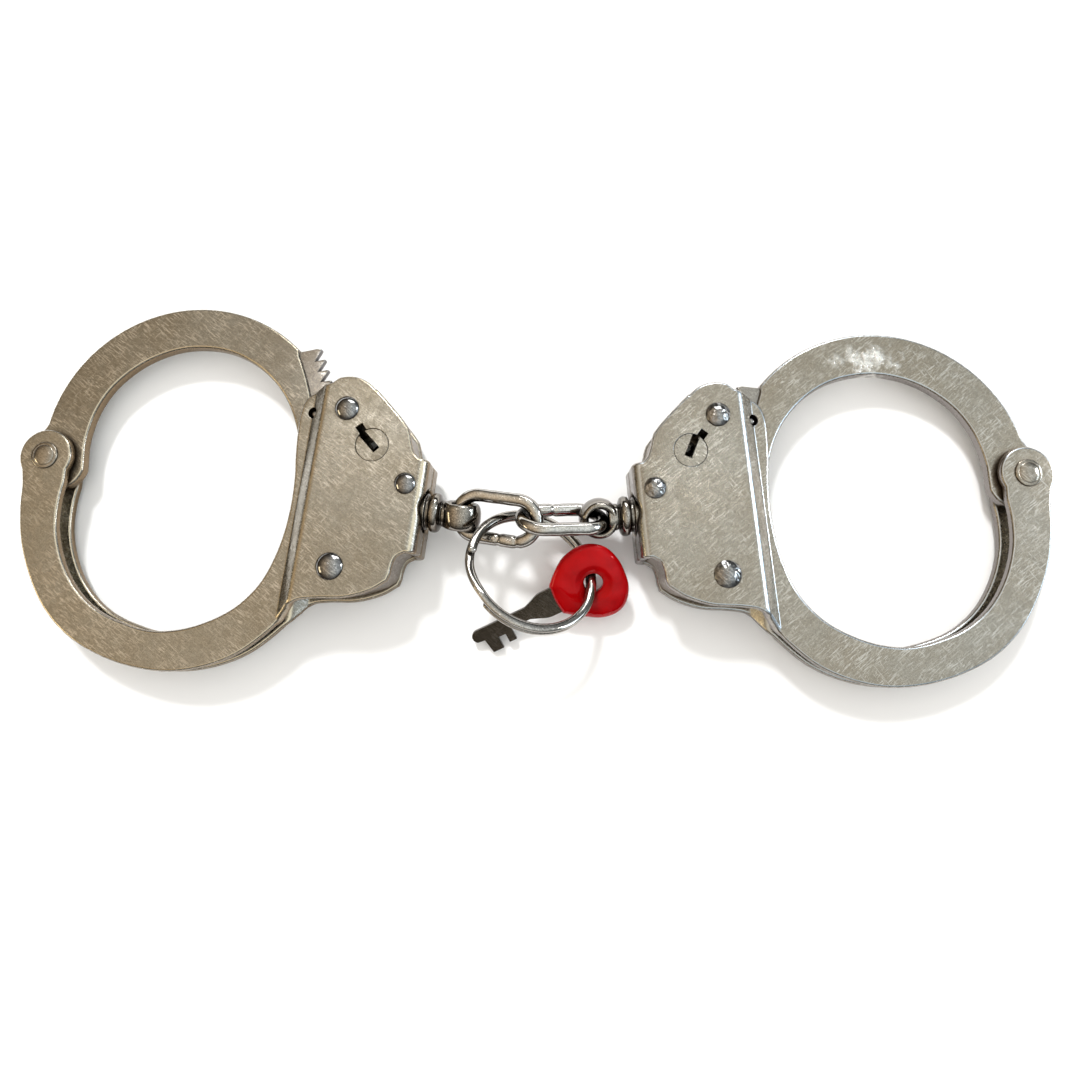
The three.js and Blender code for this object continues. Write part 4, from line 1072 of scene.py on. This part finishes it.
# ---------------------------------------------------------------- split ring
RING_SEAM = math.radians(195)


def ring_section():
    """Half-round wire section: flat where the coils meet."""
    out = []
    for i in range(24):
        a = 2 * math.pi * i / 24
        c, s = math.cos(a), math.sin(a)
        out.append((math.copysign(abs(c) ** 0.9, c), math.copysign(abs(s) ** 0.85, s)))
    return out


def split_ring_mesh():
    across, thick = RING_WIRE
    level = thick + 0.03
    gap, jog = math.radians(24), math.radians(20)
    start, end, steps = gap, 4 * math.pi - gap, 360
    section = ring_section()
    rings = []
    for i in range(steps + 1):
        turn = start + (end - start) * i / steps
        u = min(1, max(0, (turn - (2 * math.pi - jog)) / (2 * jog)))
        z = level * (2 * u * u * (3 - 2 * u) - 1)
        near_end = min(turn - start, end - turn) / math.radians(3)
        shrink = 1 if near_end > 1 else 0.55 + 0.45 * math.sqrt(max(0, near_end * (2 - near_end)))
        ring = []
        for a, b in section:
            r = RING_R + a * across * shrink
            ring.append(Vector((r * math.cos(turn), r * math.sin(turn), z + b * thick * shrink)))
        rings.append(ring)
    return ring_mesh(rings, False)


def add_ring():
    spot = joint("ring_turn")
    axis = Vector(spot["axis"]).normalized()
    turn = Vector((0, 0, 1)).rotation_difference(axis).to_matrix().to_4x4()
    m = Matrix.Translation(Vector(spot["pos_m"])) @ turn
    m = m @ Matrix.Rotation(RING_SEAM, 4, "Z") @ Matrix.Scale(MM, 4)
    bm = split_ring_mesh()
    piece("split_ring_fine", bm, m, "split_ring", BRIGHT, ["split_ring"], 60, False)


add_ring()


# ---------------------------------------------------------------- key
KEY_YAW, KEY_PITCH, KEY_ROLL = (math.radians(a) for a in (204.5, 9.9, -21.5))
KEY_T = 1.3
BOW_R = 6.6
KEY_LENGTH = 30.4
SHANK_HALF = 1.45
HEAD_HOLE_R = 2.15
HEAD_HALF_T = 1.95


def key_outline():
    return (
        arc((0.6, 0), BOW_R, 38, 322, 60)
        + smooth([(7.5, -3.3), (9.5, -3.1), (12.5, -3), (14.6, -2.2), (16.5, -SHANK_HALF)])
        + arc((KEY_LENGTH - SHANK_HALF, 0), SHANK_HALF, -90, 60, 14)
        + [(28, SHANK_HALF), (27.5, 4.9), (24.9, 4.9), (24.9, 2.1), (23.1, 2.1), (23.1, 4.3), (21.3, 4.3),
           (21.3, SHANK_HALF)]
        + smooth([(16.5, SHANK_HALF), (14.6, 2.2), (12.5, 3), (9.5, 3.1), (7.5, 3.3)])
    )


HEAD_OUTLINE = [
    (9.4, 3.6), (7.4, 5.1), (5.0, 6.7), (2.1, 8.4), (-1.2, 9.0), (-4.2, 8.0), (-6.6, 4.9), (-7.4, 1.0),
    (-7.2, -3.0), (-5.6, -6.6), (-1.7, -8.9), (3.5, -8.3), (7.0, -5.9), (9.4, -3.6),
]
BUBBLES = ((-0.6, 7.4), (1.4, 7.9), (3.2, 6.9), (-2.6, 7.7), (-5.2, 5.3), (4.4, -5.6))


def head_mesh():
    """Dipped vinyl: a pillow with a funnel-shaped hole, thin at the rim, closing round the blade."""
    outline = smooth(HEAD_OUTLINE, 9)
    outline += [(9.4 + 0.35 * math.sin(math.pi * i / 12), -3.6 + 7.2 * i / 12) for i in range(1, 12)]
    rings = []
    rows = 30
    for x, y in outline:
        a = math.atan2(y, x)
        r_out = math.hypot(x, y)
        ring = []
        for sign in (1, -1):
            row = []
            for k in range(rows + 1):
                t = k / rows
                r = HEAD_HOLE_R + (r_out - HEAD_HOLE_R) * t
                at = Vector((r * math.cos(a), r * math.sin(a), 0))
                funnel = min(1, 0.42 + 0.58 * min(1, (r - HEAD_HOLE_R) / 2.1) ** 0.75)
                edge = max(0, (t - 0.35) / 0.65)
                dome = math.sqrt(max(0, 1 - edge ** 2.2))
                wave = 0.16 * noise.noise(Vector((at.x, at.y, sign * 3)) * 0.33)
                wave += sum(0.09 * math.exp(-((at.x - u) ** 2 + (at.y - v) ** 2) / 0.07) for u, v in BUBBLES)
                h = (HEAD_HALF_T - 0.12 + wave) * funnel * dome
                row.append(Vector((at.x, at.y, sign * h)))
            ring += row if sign > 0 else row[-2:0:-1]
        hole = ring[0]
        inner = [Vector((hole.x * 0.985, hole.y * 0.985, hole.z * k)) for k in (-0.4, 0, 0.4)]
        ring += [Vector((hole.x, hole.y, -hole.z))] + inner
        rings.append(ring)
    return ring_mesh(rings, True)


def add_key():
    turn = (Matrix.Rotation(KEY_YAW, 4, "Z") @ Matrix.Rotation(KEY_PITCH, 4, "Y")
            @ Matrix.Rotation(KEY_ROLL, 4, "X"))
    blade = plate_mesh(key_outline(), [arc((0, 0), 3.7, 0, 351, 39)], -KEY_T / 2, KEY_T / 2, 0.16, 3)
    low = [min((turn @ v.co)[i] for v in blade.verts) for i in range(3)]
    corner = Vector(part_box("key_blade")[0])
    origin_m = corner - Vector(low) * MM
    m = Matrix.Translation(origin_m) @ turn @ Matrix.Scale(MM, 4)
    piece("key_blade_fine", blade, m, "key", KEY, ["key_blade"], 40)
    head = piece("key_head_fine", head_mesh(), m, "key", RED, ["key_head"], 80, False)
    smoother = head.modifiers.new("round", "SUBSURF")
    smoother.levels = smoother.render_levels = 1


add_key()
